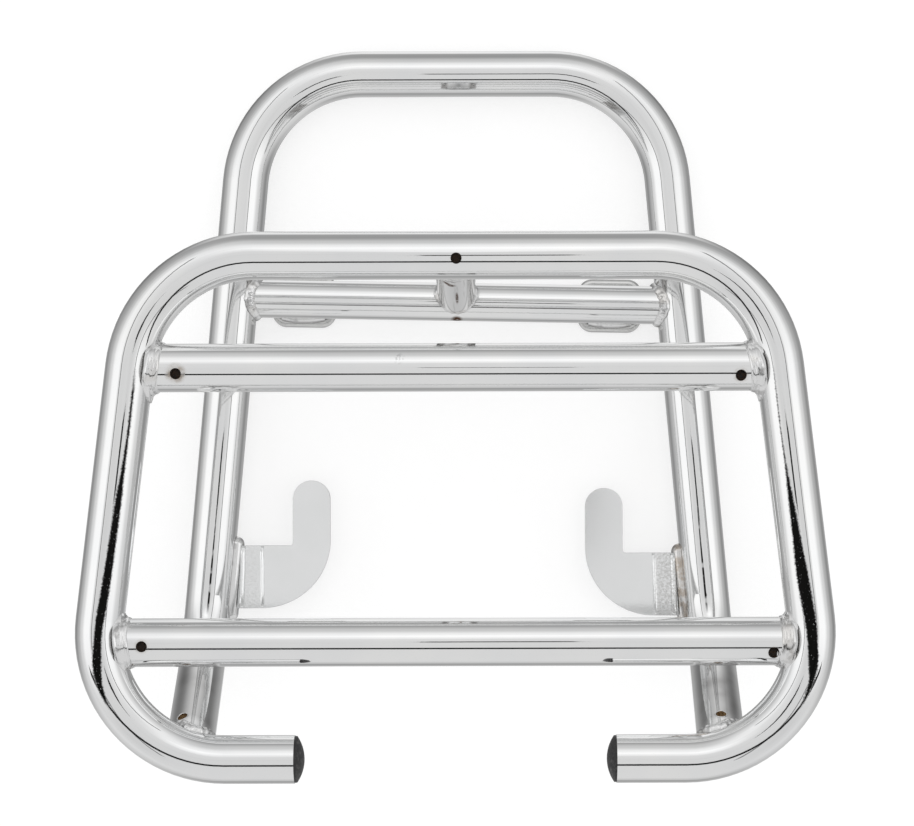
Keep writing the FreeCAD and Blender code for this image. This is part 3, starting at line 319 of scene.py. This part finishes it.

    # Down the stub: painted dark reflection on its flanks, and a few dark upright streaks
    along = nodes.add("ShaderNodeMapping")
    along.inputs["Scale"].default_value = (1.0, 0.08, 0.05)
    nodes.link(place, along.inputs["Vector"])
    streak = nodes.remap(nodes.noise(along.outputs[0], 520.0, detail=2.0), 0.56, 0.70, 0.0, 0.35, smooth=True)
    painted_flank = nodes.remap(x_abs, 0.0046, 0.0066, 0.0, 0.8, smooth=True)
    streaks_and_painted_flanks = nodes.math("MAXIMUM", streak, painted_flank)
    for feed, start, full in ((x_abs, 0.0100, 0.0096), (y, 0.0440, 0.0450), (y, 0.0750, 0.0740), (z, 0.0205, 0.0225),
                              (z, 0.0830, 0.0800)):
        streaks_and_painted_flanks = nodes.math("MULTIPLY", streaks_and_painted_flanks, nodes.remap(feed, start, full, 0.0, 1.0))
    color = nodes.mix_color(streaks_and_painted_flanks, color, (0.30, 0.29, 0.28))
    nodes.link(color, shader.inputs["Base Color"])
    smear = nodes.remap(nodes.noise(place, 18.0, detail=5.0, roughness=0.65), 0.35, 0.75, 0.028, 0.07)
    rough = nodes.math("ADD", smear, nodes.math("MULTIPLY", nodes.math("MAXIMUM", stain, rust), 0.35))
    rough = nodes.math("ADD", rough, nodes.math("MULTIPLY", painted_reflection_and_pits, 0.08))
    nodes.link(rough, shader.inputs["Roughness"])
    ripple = nodes.math("MULTIPLY", nodes.noise(place, 240.0, detail=2.0), 0.04)
    speckle = nodes.math("MULTIPLY", nodes.math("MULTIPLY", grain, strip), 0.7)
    bump(nodes, shader, nodes.math("ADD", ripple, speckle), 0.5, 0.00012)
    return material


def make_bead_metal():
    """Plated weld bead: bright on its ridges, sooty and pitted in its hollows, with painted shade deep in its
    crevices.
    """
    material, nodes, shader, place = new_material("weld_bead")
    shader.inputs["Metallic"].default_value = 1.0
    hollow = nodes.remap(nodes.noise(place, 150.0, detail=2.0, roughness=0.5), 0.54, 0.70, 0.0, 1.0, smooth=True)
    tint = nodes.remap(nodes.noise(place, 70.0, detail=2.0), 0.55, 0.70, 0.0, 0.18, smooth=True)
    color = nodes.mix_color(nodes.math("MULTIPLY", hollow, 0.55), (0.86, 0.86, 0.86), (0.30, 0.295, 0.29))
    color = nodes.mix_color(tint, color, (0.52, 0.44, 0.34))
    split = nodes.add("ShaderNodeSeparateXYZ")
    nodes.link(place, split.inputs[0])
    burnt = nodes.remap(nodes.noise(place, 260.0, detail=3.0), 0.42, 0.62, 0.1, 0.55, smooth=True)
    for feed, start, full in ((split.outputs[0], 0.100, 0.103), (split.outputs[2], 0.020, 0.016),
                              (split.outputs[1], -0.055, -0.064)):
        burnt = nodes.math("MULTIPLY", burnt, nodes.remap(feed, start, full, 0.0, 1.0))
    color = nodes.mix_color(burnt, color, (0.36, 0.26, 0.16))
    # Painted shade in the bead's crevices
    color = nodes.mix_color(crevice_shade(nodes, 0.0022), color, (0.09, 0.085, 0.08))
    nodes.link(color, shader.inputs["Base Color"])
    nodes.link(nodes.remap(hollow, 0.0, 1.0, 0.13, 0.30), shader.inputs["Roughness"])
    pitted = nodes.math("MULTIPLY", nodes.noise(place, 1000.0, detail=3.0, roughness=0.6), hollow)
    bump(nodes, shader, pitted, 0.25, 0.00015)
    return material


def make_hook_steel():
    """Bright plated sheet with a faint rolled grain and a mottled, heat-dulled strip by the leg."""
    material, nodes, shader, place = new_material("hook_steel")
    shader.inputs["Metallic"].default_value = 1.0
    split = nodes.add("ShaderNodeSeparateXYZ")
    nodes.link(place, split.inputs[0])
    grain = nodes.noise(place, 1300.0, detail=3.0, roughness=0.7)
    cloud = nodes.remap(nodes.noise(place, 60.0, detail=4.0, roughness=0.6), 0.3, 0.7, 0.0, 1.0)
    by_leg = nodes.remap(nodes.math("ABSOLUTE", split.outputs[0]), 0.094, 0.099, 0.0, 1.0, smooth=True)
    fine = nodes.noise(place, 850.0, detail=4.0, roughness=0.75)
    mottle = nodes.math("MULTIPLY", nodes.remap(fine, 0.40, 0.62, 0.0, 1.0), by_leg)
    right = nodes.remap(nodes.math("GREATER_THAN", split.outputs[0], 0.0), 0.0, 1.0, 0.12, 0.55)
    color = nodes.mix_color(cloud, (0.94, 0.95, 0.95), (0.98, 0.985, 0.99))
    color = nodes.mix_color(nodes.math("MULTIPLY", mottle, right), color, (0.50, 0.49, 0.47))
    nodes.link(color, shader.inputs["Base Color"])
    rough = nodes.math("ADD", nodes.remap(cloud, 0.0, 1.0, 0.10, 0.15), nodes.math("MULTIPLY", mottle, 0.10))
    nodes.link(rough, shader.inputs["Roughness"])
    bevel = nodes.add("ShaderNodeBevel", samples=4)
    bevel.inputs["Radius"].default_value = 0.0006
    node = bump(nodes, shader, grain, 0.12, 0.0001)
    nodes.link(bevel.outputs["Normal"], node.inputs["Normal"])
    return material


def make_plate_steel():
    """Plated plate, a little duller than the tube, with eased edges and painted shade in its corners."""
    material, nodes, shader, place = new_material("plate_steel")
    shader.inputs["Metallic"].default_value = 1.0
    cloud = nodes.remap(nodes.noise(place, 120.0, detail=4.0, roughness=0.6), 0.3, 0.7, 0.0, 1.0)
    color = nodes.mix_color(cloud, (0.68, 0.68, 0.675), (0.78, 0.78, 0.77))
    # Painted shade in the plate's corners
    color = nodes.mix_color(crevice_shade(nodes, 0.002), color, (0.10, 0.095, 0.09))
    nodes.link(color, shader.inputs["Base Color"])
    nodes.link(nodes.remap(cloud, 0.0, 1.0, 0.07, 0.15), shader.inputs["Roughness"])
    bump(nodes, shader, nodes.noise(place, 700.0, detail=3.0), 0.2, 0.0001)
    return material


def make_plug_plastic():
    """Black moulded plastic with a dusty grain."""
    material, nodes, shader, place = new_material("plug_plastic")
    grain = nodes.noise(place, 1500.0, detail=4.0, roughness=0.75)
    dust = nodes.remap(nodes.noise(place, 500.0, detail=5.0, roughness=0.7), 0.52, 0.70, 0.0, 0.6, smooth=True)
    color = nodes.mix_color(dust, (0.018, 0.018, 0.019), (0.16, 0.155, 0.15))
    nodes.link(color, shader.inputs["Base Color"])
    nodes.link(nodes.remap(grain, 0.3, 0.7, 0.38, 0.62), shader.inputs["Roughness"])
    bump(nodes, shader, grain, 0.6, 0.0003)
    return material


def make_vent_shade():
    """Unplated wall of a drilled vent, near black as painted shade inside the hole, with patches of dark brown."""
    material, nodes, shader, place = new_material("vent_shade")
    patch = nodes.noise(place, 900.0, detail=4.0)
    color = nodes.mix_color(nodes.remap(patch, 0.35, 0.65, 0.0, 1.0), (0.006, 0.005, 0.004), (0.045, 0.024, 0.012))
    nodes.link(color, shader.inputs["Base Color"])
    nodes.link(nodes.remap(patch, 0.3, 0.7, 0.6, 0.9), shader.inputs["Roughness"])
    bump(nodes, shader, patch, 0.5, 0.0003)
    return material


def make_vent_rust():
    """Golden brown rust inside the vents of the legs, which the plating didn't reach."""
    material, nodes, shader, place = new_material("vent_rust")
    patch = nodes.noise(place, 1100.0, detail=4.0)
    color = nodes.mix_color(nodes.remap(patch, 0.38, 0.62, 0.0, 1.0), (0.10, 0.050, 0.020), (0.34, 0.22, 0.10))
    nodes.link(color, shader.inputs["Base Color"])
    nodes.link(nodes.remap(patch, 0.3, 0.7, 0.55, 0.85), shader.inputs["Roughness"])
    bump(nodes, shader, patch, 0.5, 0.0003)
    return material


CHROME = make_chrome()
BEAD = make_bead_metal()
HOOK = make_hook_steel()
PLATE = make_plate_steel()
PLUG = make_plug_plastic()
VENT_SHADE = make_vent_shade()
VENT_RUST = make_vent_rust()

FINISHES = {"plated_tube": CHROME, "weld_bead": BEAD, "hook_steel": HOOK, "plate_steel": PLATE,
            "plug_plastic": PLUG}


def finish_cad_nodes():
    """Give every CAD node the material of its slot."""
    for entry in frame["record"]["subparts"]:
        mesh = frame["nodes"][entry["node"]].data
        mesh.materials.clear()
        mesh.materials.append(FINISHES[entry["material_slot"]])


# Mesh helpers

def add_mesh(name, points, faces, material):
    mesh = bpy.data.meshes.new(name)
    mesh.from_pydata([tuple(Vector(point) * MM) for point in points], [], faces)
    mesh.validate()
    mesh.shade_smooth()
    mesh.materials.append(material)
    piece = bpy.data.objects.new(name, mesh)
    bpy.context.scene.collection.objects.link(piece)
    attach(piece, "root")
    return piece


def grid_faces(rows, columns, closed_rows):
    """Quads between rings of points; the rings themselves are closed."""
    faces = []
    for row in range(rows if closed_rows else rows - 1):
        after = (row + 1) % rows
        for column in range(columns):
            beside = (column + 1) % columns
            faces.append((row * columns + column, row * columns + beside, after * columns + beside,
                          after * columns + column))
    return faces


# Weld beads

BEAD_RADIUS, BEAD_SINK_BAR, BEAD_SINK_TUBE = 3.2, 1.5, 0.2
RIPPLE_PITCH = 2.6


def line_distance(origin, direction):
    return lambda place: (place - origin).cross(direction).length


def carrier_distance(side, in_plan=False):
    """Distance from the bed's centre line, or from the upright wall through it."""
    outward = Vector((math.cos(FLARE), math.sin(FLARE), 0))
    down = Vector((math.sin(FLARE), -math.cos(FLARE), 0))

    def distance(place):
        spot = Vector((side * place.x, place.y, 0))
        if (spot - FRONT_BEND).dot(down) < 0:
            flat = (spot - FRONT_BEND).length
        elif (spot - ARM_BEND).dot(down) < 0:
            flat = (spot - ARM_BEND).dot(outward)
        elif spot.x > ARM_BEND.x:
            flat = (spot - ARM_BEND).length
        else:
            flat = ARM_BEND.y - spot.y
        return abs(flat - BEND_RADIUS) if in_plan else math.hypot(flat - BEND_RADIUS, place.z - CARRIER_Z)

    return distance


def seam_points(foot, direction, ring_radius, tube_distance, target, steps):
    """Points round a branch at a set distance from the tube that it lands on."""
    side = direction.cross(Vector((0, 0, 1)))
    if side.length < 0.5:
        side = direction.cross(Vector((0, 1, 0)))
    side.normalize()
    other = direction.cross(side)
    points = []
    for step in range(steps):
        angle = 2 * math.pi * step / steps
        start = foot + side * (ring_radius * math.cos(angle)) + other * (ring_radius * math.sin(angle))
        near, far = 0.0, 4 * target
        for _ in range(30):
            middle = (near + far) / 2
            if tube_distance(start + direction * middle) < target:
                near = middle
            else:
                far = middle
        points.append(start + direction * near)
    return points


def add_bead(name, points, closed, radius, seed, flanks=False):
    """A rippled bead: a round section run along the seam; with flanks it swells on its two sides only."""
    rounds = 20
    count = len(points)
    rings, travelled = [], 0.0
    for index, point in enumerate(points):
        before = points[index - 1] if closed or index else points[0]
        after = points[(index + 1) % count] if closed or index < count - 1 else points[-1]
        tangent = (after - before).normalized()
        side = tangent.cross(Vector((0.13, 0.21, 0.97))).normalized()
        up = tangent.cross(side)
        travelled += (point - before).length if index else 0.0
        phase = (travelled / RIPPLE_PITCH) % 1.0
        swell = 0.10 * math.cos(2 * math.pi * phase)
        fade = 1.0
        if not closed:
            fade = math.sqrt(max(0.0, 1 - (2 * index / (count - 1) - 1) ** 4)) * 0.85 + 0.15
        if flanks:
            fade = 0.62 + 0.42 * math.cos(2 * math.pi * index / count) ** 8
        for turn in range(rounds):
            angle = 2 * math.pi * turn / rounds
            outward = side * math.cos(angle) + up * math.sin(angle)
            lump = noise.noise((point + outward * radius) * 0.35 + Vector((seed * 9.1, seed * 3.7, 0)))
            rough = noise.noise((point + outward * radius) * 1.3 + Vector((0, seed * 5.3, 0)))
            rings.append(point + outward * (radius * fade + (swell + 0.30 * lump + 0.03 * rough) * radius / 3))
    faces = grid_faces(count, rounds, closed)
    if not closed:
        faces += [tuple(range(rounds))[::-1], tuple(range((count - 1) * rounds, count * rounds))]
    return add_mesh(f"{name}_bead", rings, faces, BEAD)


def add_seam_bead(name, foot, direction, bar_radius, tube_distance, tube_radius, seed, flanks=False):
    points = seam_points(foot, direction, bar_radius - BEAD_SINK_BAR, tube_distance, tube_radius - BEAD_SINK_TUBE, 200)
    piece = add_bead(name, points, True, BEAD_RADIUS - 0.15, seed, flanks)
    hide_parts(name)


# Ridges of the fat ring weld: distance from the side's centre line, height over the bar's axis, radius
RING_RIDGES = ((12.9, 9.9, 1.9), (11.4, 9.0, 2.75), (9.9, 9.2, 2.8))
RING_FOOT, RING_START, RING_END = 8.0, 7.2, 15.8
FILLET_RADIUS = 5.0


def ring_height(reach, weights, flare):
    """Height of the ring weld over the bar's axis: ridges, and a fillet that spreads along the side tube."""
    height = RING_FOOT
    if flare > 0.02:
        depth = min(RING_END - reach, FILLET_RADIUS)
        rise = FILLET_RADIUS - math.sqrt(FILLET_RADIUS ** 2 - depth ** 2)
        height = TUBE_RADIUS - 0.12 + rise * flare
    for (centre, base, radius), weight in zip(RING_RIDGES, weights):
        inside = (radius * weight) ** 2 - (reach - centre) ** 2
        if inside > 0:
            height = max(height, base + math.sqrt(inside))
    return height


def add_ring_weld(name, foot, direction, tube_distance, seed):
    """The fat weld round a square-cut bar, built up in two passes."""
    steps, across = 132, 34
    centre_reach = 12.0
    centres = seam_points(foot, direction, RING_FOOT + 1.0, tube_distance, centre_reach, steps)
    rings = []
    for step, centre in enumerate(centres):
        along = (centre - foot).dot(direction)
        radial = (centre - foot - direction * along).normalized()
        drift = Vector((seed * 7.3, math.cos(2 * math.pi * step / steps), math.sin(2 * math.pi * step / steps)))
        weights = [1.0 + 0.12 * noise.noise(drift * 1.7 + Vector((ridge * 5.0, 0, 0)))
                   for ridge in range(len(RING_RIDGES))]
        sway = 0.5 * noise.noise(drift * 1.3 + Vector((40.0, 0, 0)))
        flare = math.hypot(radial.x, radial.y) ** 6
        ripple = 0.03 * math.sin(step * math.pi * 24 / steps + 2.0 * noise.noise(drift * 2.0))
        ring = []
        for index in range(across):
            reach = RING_START + (RING_END - RING_START) * index / (across - 1)
            height = ring_height(min(reach + sway, RING_END), weights, flare)
            spot = foot + direction * (along + reach - centre_reach) + radial * height
            if height > RING_FOOT + 0.01:
                lump = noise.noise(spot * 0.2 + Vector((seed * 3.1, 0, 0)))
                spot += radial * (0.30 * lump + ripple)
            ring.append(spot)
        ring.append(foot + direction * (along + RING_END - centre_reach) + radial * (RING_FOOT - 1.0))
        ring.append(foot + direction * (along + RING_START - centre_reach) + radial * (RING_FOOT - 1.0))
        rings += ring
    piece = add_mesh(f"{name}_bead", rings, grid_faces(steps, across + 2, True), BEAD)
    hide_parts(name)


def half_width(y):
    """Half width of the bed's centre line, on its side and on its two bends."""
    for bend, beyond in ((FRONT_BEND, y > FRONT_BEND.y + BEND_RADIUS * math.sin(FLARE)),
                         (ARM_BEND, y < ARM_BEND.y + BEND_RADIUS * math.sin(FLARE))):
        if beyond:
            return bend.x + math.sqrt(BEND_RADIUS ** 2 - (y - bend.y) ** 2)
    return side_x(y)


def leg_run():
    """Landing point, direction and upward side of the right leg's rising run."""
    flare, lean = math.radians(LEG_FLARE), math.radians(LEG_LEAN)
    down = Vector((math.sin(flare), -math.cos(flare), 0))
    corner = Vector((SUPPORT_WIDTH / 2, NOSE_Y, SUPPORT_Z))
    drop = math.sqrt(BEND_RADIUS ** 2 - (LEG_LANDING - ARM_BEND.x) ** 2)
    landing = Vector((LEG_LANDING, ARM_BEND.y - drop, CARRIER_Z))
    offset = landing - corner
    across = (offset - down * offset.dot(down)).normalized()
    return landing, down * math.cos(lean) + across * math.sin(lean), across


def add_beads():
    tilt = math.radians(SUPPORT_BAR_TILT)
    seed = 1
    for word, side in (("left", -1), ("right", 1)):
        for bar, y in (("upper_crossbar", UPPER_Y), ("lower_crossbar", LOWER_Y)):
            foot = Vector((side * half_width(y), y, CARRIER_Z))
            add_ring_weld(f"{bar}_weld_{word}", foot, Vector((-side, 0, 0)), carrier_distance(side, in_plan=True),
                          seed)
            seed += 1
        reach = side * leg_x(BRACE_Y)
        anchor = Vector((reach, BRACE_Y, SUPPORT_Z))
        along = Vector((side * math.sin(math.radians(LEG_FLARE)), -math.cos(math.radians(LEG_FLARE)), 0))
        inward = Vector((-side * math.cos(tilt), side * math.sin(tilt), 0))
        add_seam_bead(f"support_crossbar_weld_{word}", anchor - Vector((0, reach * math.tan(tilt), 0)), inward,
                      BRACE_RADIUS, line_distance(anchor, along), TUBE_RADIUS, seed + 20)
        landing, rise, _ = leg_run()
        foot = Vector((side * landing.x, landing.y, landing.z))
        add_seam_bead(f"leg_weld_{word}", foot, Vector((-side * rise.x, -rise.y, -rise.z)), TUBE_RADIUS,
                      carrier_distance(side), TUBE_RADIUS, seed + 30)
    top = Vector((0, FRONT_Y, CARRIER_Z))
    foot = Vector((0, BRACE_Y + STUB_RISE, SUPPORT_Z))
    downward = (foot - top).normalized()
    bar = Vector((math.cos(tilt), -math.sin(tilt), 0))
    middle = Vector((0, BRACE_Y, SUPPORT_Z))
    add_seam_bead("stub_weld_top", top, downward, BRACE_RADIUS, line_distance(top, Vector((1, 0, 0))), TUBE_RADIUS, 41)
    add_seam_bead("stub_weld_foot", foot, -downward, BRACE_RADIUS, line_distance(middle, bar), BRACE_RADIUS, 42,
                  flanks=True)


# Vents

def add_vent(name, mouth, outward, material):
    """Dark wall of a drilled vent, just inside its mouth, closed by a small floor; in the level tubes its near black
    is painted shade.
    """
    outward = outward.normalized()
    side = outward.orthogonal().normalized()
    up = outward.cross(side)
    steps = 32
    rings = []
    for depth, radius in ((-0.3, VENT_BORE / 2 - 0.02), (-0.9, VENT_BORE / 2 - 0.12), (-2.6, VENT_BORE / 2 - 0.16),
                          (-3.2, 0.8)):
        for step in range(steps):
            angle = 2 * math.pi * step / steps
            rings.append(mouth + outward * depth + (side * math.cos(angle) + up * math.sin(angle)) * radius)
    faces = grid_faces(4, steps, False)
    faces.append(tuple(range(3 * steps, 4 * steps)))
    add_mesh(name, rings, faces, material)


def add_vent_rim(name, mouth, outward, axis):
    """Thin raised burr round a leg's vent, lying on the round of the tube."""
    across = axis.cross(outward)
    centre = mouth - outward * TUBE_RADIUS
    points = []
    for step in range(48):
        angle = 2 * math.pi * step / 48
        wide = (VENT_BORE / 2 + 0.15) * math.cos(angle)
        point = centre + axis * (VENT_BORE / 2 + 0.15) * math.sin(angle) + across * wide
        points.append(point + outward * (math.sqrt(TUBE_RADIUS ** 2 - wide ** 2) - 0.05))
    add_bead(name, points, True, 0.30, 60)


def add_vents():
    for number, (mouth, _) in enumerate(vent_places(), start=1):
        # Near black painted shade inside the vents of the level tubes
        add_vent(f"vent_{number}", mouth, Vector((0, 0, 1)), VENT_SHADE)
    landing, rise, across = leg_run()
    for word, side, turn in (("left", -1, 26.0), ("right", 1, 6.0)):
        facing = Quaternion(rise, math.radians(-turn)) @ rise.cross(across).cross(rise).normalized()
        mouth = landing - rise * LEG_VENT_DISTANCE + facing * TUBE_RADIUS
        mouth.x *= side
        facing.x *= side
        add_vent(f"vent_leg_{word}", mouth, facing, VENT_RUST)
        add_vent_rim(f"vent_rim_{word}", mouth, facing, Vector((side * rise.x, rise.y, rise.z)))


# Hook creases

def leg_side_x(y):
    return leg_x(y) - HOOK_REACH


def add_crease(name, side, slot_y, offset_top, offset_foot, width, height):
    """A stamped crease across the hook's strap, a low ridge with straight flanks on the sheet."""
    steps = 24
    profile = ((-1.0, 0.0), (-0.9, 0.08), (-0.3, 0.76), (-0.12, 0.95), (0.0, 1.0), (0.12, 0.95), (0.3, 0.76),
               (0.9, 0.08), (1.0, 0.0))
    rounds = len(profile)
    face = SUPPORT_Z + 1.5
    rings = []
    for step in range(steps):
        share = step / (steps - 1)
        y = slot_y - 0.4 - (HOOK_STRAP - 0.8) * share
        fold_x = leg_side_x(slot_y) + HOOK_OUTER_RADIUS
        x = fold_x + offset_top + (offset_foot - offset_top) * share + 0.25 * noise.noise(Vector((share * 4, side, 3)))
        rise = face + max(0.0, x - fold_x) * 0.172
        fade = min(1.0, 6 * share, 6 * (1 - share)) ** 0.5 if 0 < share < 1 else 0.2
        for along, up in profile:
            rings.append(Vector((side * (x + along * width / 2), y, rise + up * height * fade)))
        rings.append(Vector((side * x, y, rise - 0.6)))
    faces = grid_faces(steps, rounds + 1, False)
    faces += [tuple(range(rounds + 1))[::-1], tuple(range((steps - 1) * (rounds + 1), steps * (rounds + 1)))]
    add_mesh(name, rings, faces, HOOK)


def add_creases():
    for word, side, slot in (("left", -1, HOOK_SLOT_LEFT), ("right", 1, HOOK_SLOT_RIGHT)):
        slot_y = ARM_Y + slot
        add_crease(f"hook_crease_{word}", side, slot_y, 0.2, 1.2 if side > 0 else 0.0, 2.0, 0.52)
        add_crease(f"hook_shoulder_{word}", side, slot_y, 9.2, 10.0, 2.6, 0.68)


# Studio

def emission(name, color, strength=1.0):
    material = bpy.data.materials.new(name)
    material.use_nodes = True
    nodes = Nodes(material.node_tree)
    material.node_tree.nodes.remove(material.node_tree.nodes["Principled BSDF"])
    glow = nodes.add("ShaderNodeEmission")
    glow.inputs["Color"].default_value = (*color, 1.0)
    glow.inputs["Strength"].default_value = strength
    nodes.link(glow.outputs[0], material.node_tree.nodes["Material Output"].inputs["Surface"])
    return material


def add_card(name, centre, half_x, half_y, level, tip=(0, 0, 0)):
    """A card that only reflections see, hung over the rack; centre and sizes are in metres."""
    mesh = bpy.data.meshes.new(name)
    mesh.from_pydata([(-half_x, -half_y, 0), (half_x, -half_y, 0), (half_x, half_y, 0), (-half_x, half_y, 0)], [],
                     [(0, 1, 2, 3)])
    mesh.materials.append(emission(name, (level, level, level)))
    card = bpy.data.objects.new(name, mesh)
    card.location = centre
    card.rotation_euler = tip
    bpy.context.scene.collection.objects.link(card)
    card.visible_camera = False
    card.visible_diffuse = False
    card.visible_shadow = False


def ramp(nodes, feed, stops):
    """A grey level that runs smoothly through a few (degrees from straight up, level) stops."""
    node = nodes.add("ShaderNodeValToRGB")
    node.color_ramp.interpolation = "B_SPLINE" if len(stops) > 32 else "EASE"
    elements = node.color_ramp.elements
    while len(elements) < len(stops):
        elements.new(0.5)
    for element, (angle, level) in zip(elements, stops):
        element.position = angle / 180
        element.color = (level, level, level, 1.0)
    nodes.link(feed, node.inputs["Fac"])
    return node.outputs["Color"]


# Levels of the light tent by the angle from straight up, in degrees
TENT_BACK = ((0, 0.72), (14, 0.75), (24, 0.98), (31, 1.10), (38, 0.96), (62, 0.62), (88, 0.34), (108, 0.36),
             (124, 0.92), (150, 0.80))
TENT_FRONT = ((0, 0.72), (98, 0.73), (114, 0.60), (127, 0.34), (143, 0.44), (165, 0.55))
TENT_SIDE = ((0, 0.70), (20, 0.69), (35, 0.78), (40, 1.06), (64, 1.06), (84, 0.74), (106, 0.46), (130, 0.27),
             (155, 0.40))
TENT_BACK_CORNER = ((0, 0.72), (30, 0.78), (44, 0.90), (55, 0.95), (67, 0.76), (80, 0.56), (95, 0.42),
                    (113, 0.34), (138, 0.20), (160, 0.20))
TENT_FRONT_CORNER = ((0, 0.72), (60, 0.66), (75, 0.70), (95, 0.76), (115, 0.68), (140, 0.58))
RIGHT_PANEL_SHIFT = 6


def make_world():
    """White for the camera; for reflections a light tent with a bright back panel and bright sides."""
    world = bpy.data.worlds.new("studio")
    bpy.context.scene.world = world
    world.use_nodes = True
    nodes = Nodes(world.node_tree)
    background = world.node_tree.nodes["Background"]
    direction = nodes.add("ShaderNodeTexCoord").outputs["Generated"]
    split = nodes.add("ShaderNodeSeparateXYZ")
    nodes.link(direction, split.inputs[0])
    x, y, z = split.outputs
    angle = nodes.math("DIVIDE", nodes.math("ARCCOSINE", z), math.pi)
    x_square, y_square = nodes.math("MULTIPLY", x, x), nodes.math("MULTIPLY", y, y)
    spread = nodes.math("ADD", nodes.math("ADD", x_square, y_square), 1e-5)
    sideways = nodes.math("DIVIDE", x_square, spread)
    backwards = nodes.remap(nodes.math("DIVIDE", y, nodes.math("SQRT", spread)), -0.25, 0.25, 0.0, 1.0, smooth=True)
    lengthways = nodes.mix_color(backwards, ramp(nodes, angle, TENT_FRONT), ramp(nodes, angle, TENT_BACK))
    shift = nodes.math("MULTIPLY", nodes.math("GREATER_THAN", x, 0.0), RIGHT_PANEL_SHIFT / 180)
    tent = nodes.mix_color(sideways, lengthways, ramp(nodes, nodes.math("ADD", angle, shift), TENT_SIDE))
    between = nodes.math("MULTIPLY", nodes.math("MULTIPLY", sideways, nodes.math("SUBTRACT", 1.0, sideways)), 4.0)
    corners = nodes.mix_color(backwards, ramp(nodes, angle, TENT_FRONT_CORNER), ramp(nodes, angle, TENT_BACK_CORNER))
    tent = nodes.mix_color(between, tent, corners)

    path = nodes.add("ShaderNodeLightPath")
    level = nodes.mix_color(path.outputs["Is Glossy Ray"], (1.0, 1.0, 1.0), tent)
    nodes.link(level, background.inputs["Color"])
    background.inputs["Strength"].default_value = 1.0


def make_floor():
    """White sweep that keeps the rack's soft shadow; the plating sees the tent in its place."""
    mesh = bpy.data.meshes.new("floor")
    half = 3.0
    mesh.from_pydata([(-half, -half, 0), (half, -half, 0), (half, half, 0), (-half, half, 0)], [], [(0, 1, 2, 3)])
    material, nodes, shader, place = new_material("floor_white")
    path = nodes.add("ShaderNodeLightPath")
    paper = nodes.remap(nodes.noise(place, 40.0), 0.3, 0.7, 0.97, 0.99)
    share = nodes.remap(path.outputs["Is Camera Ray"], 0.0, 1.0, 0.95, 0.42)
    color = nodes.add("ShaderNodeCombineColor")
    level = nodes.math("MULTIPLY", paper, share)
    for socket in color.inputs[:3]:
        nodes.link(level, socket)
    nodes.link(color.outputs[0], shader.inputs["Base Color"])
    shader.inputs["Roughness"].default_value = 1.0
    shader.inputs["Specular IOR Level"].default_value = 0.0
    glow = nodes.add("ShaderNodeEmission")
    nodes.link(nodes.math("MULTIPLY", path.outputs["Is Camera Ray"], 0.67), glow.inputs["Strength"])
    total = nodes.add("ShaderNodeAddShader")
    nodes.link(shader.outputs[0], total.inputs[0])
    nodes.link(glow.outputs[0], total.inputs[1])
    clear = nodes.add("ShaderNodeBsdfTransparent")
    chosen = nodes.add("ShaderNodeMixShader")
    nodes.link(path.outputs["Is Glossy Ray"], chosen.inputs[0])
    nodes.link(total.outputs[0], chosen.inputs[1])
    nodes.link(clear.outputs[0], chosen.inputs[2])
    nodes.link(chosen.outputs[0], material.node_tree.nodes["Material Output"].inputs["Surface"])
    mesh.materials.append(material)
    floor = bpy.data.objects.new("floor", mesh)
    floor.location.z = -0.0005
    bpy.context.scene.collection.objects.link(floor)


def make_cards():
    """Dark shapes that the plating reflects: a long slit, the camera and the tent's side seams."""
    bed = CARRIER_Z * MM
    add_card("slit", (0, CAMERA_Y * MM - 0.488, bed + 0.805), 1.6, 0.062, 0.02, (math.radians(31), 0, 0))
    add_card("camera_body", (0.024, CAMERA_Y * MM, bed + 1.16), 0.072, 0.040, 0.02)
    for side, angle in ((-1, 35), (1, 29)):
        reach = side * 1.111 * math.tan(math.radians(angle))
        add_card(f"seam_{side + 2}", (reach, 0, bed + 1.111), 0.035, 1.2, 0.2, (0, math.radians(angle * side), 0))


def make_camera():
    data = bpy.data.cameras.new("camera")
    data.sensor_width = SENSOR
    data.lens = CAMERA_DISTANCE * PIXELS_PER_MM / PICTURE_WIDTH * SENSOR
    data.shift_x = (PICTURE_WIDTH / 2 - AXIS_COLUMN) / PICTURE_WIDTH
    data.shift_y = (AXIS_ROW - PICTURE_HEIGHT / 2) / PICTURE_WIDTH
    data.clip_start = 0.05
    camera = bpy.data.objects.new("camera", data)
    camera.location = Vector((CAMERA_X, CAMERA_Y, CARRIER_Z + CAMERA_DISTANCE)) * MM
    camera.rotation_euler.z = math.radians(CAMERA_ROLL)
    bpy.context.scene.collection.objects.link(camera)
    bpy.context.scene.camera = camera


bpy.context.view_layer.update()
random.seed(5)
finish_cad_nodes()
add_beads()
add_vents()
add_creases()
make_world()
make_floor()
make_cards()
make_camera()
bpy.context.scene.view_settings.view_transform = "Standard"
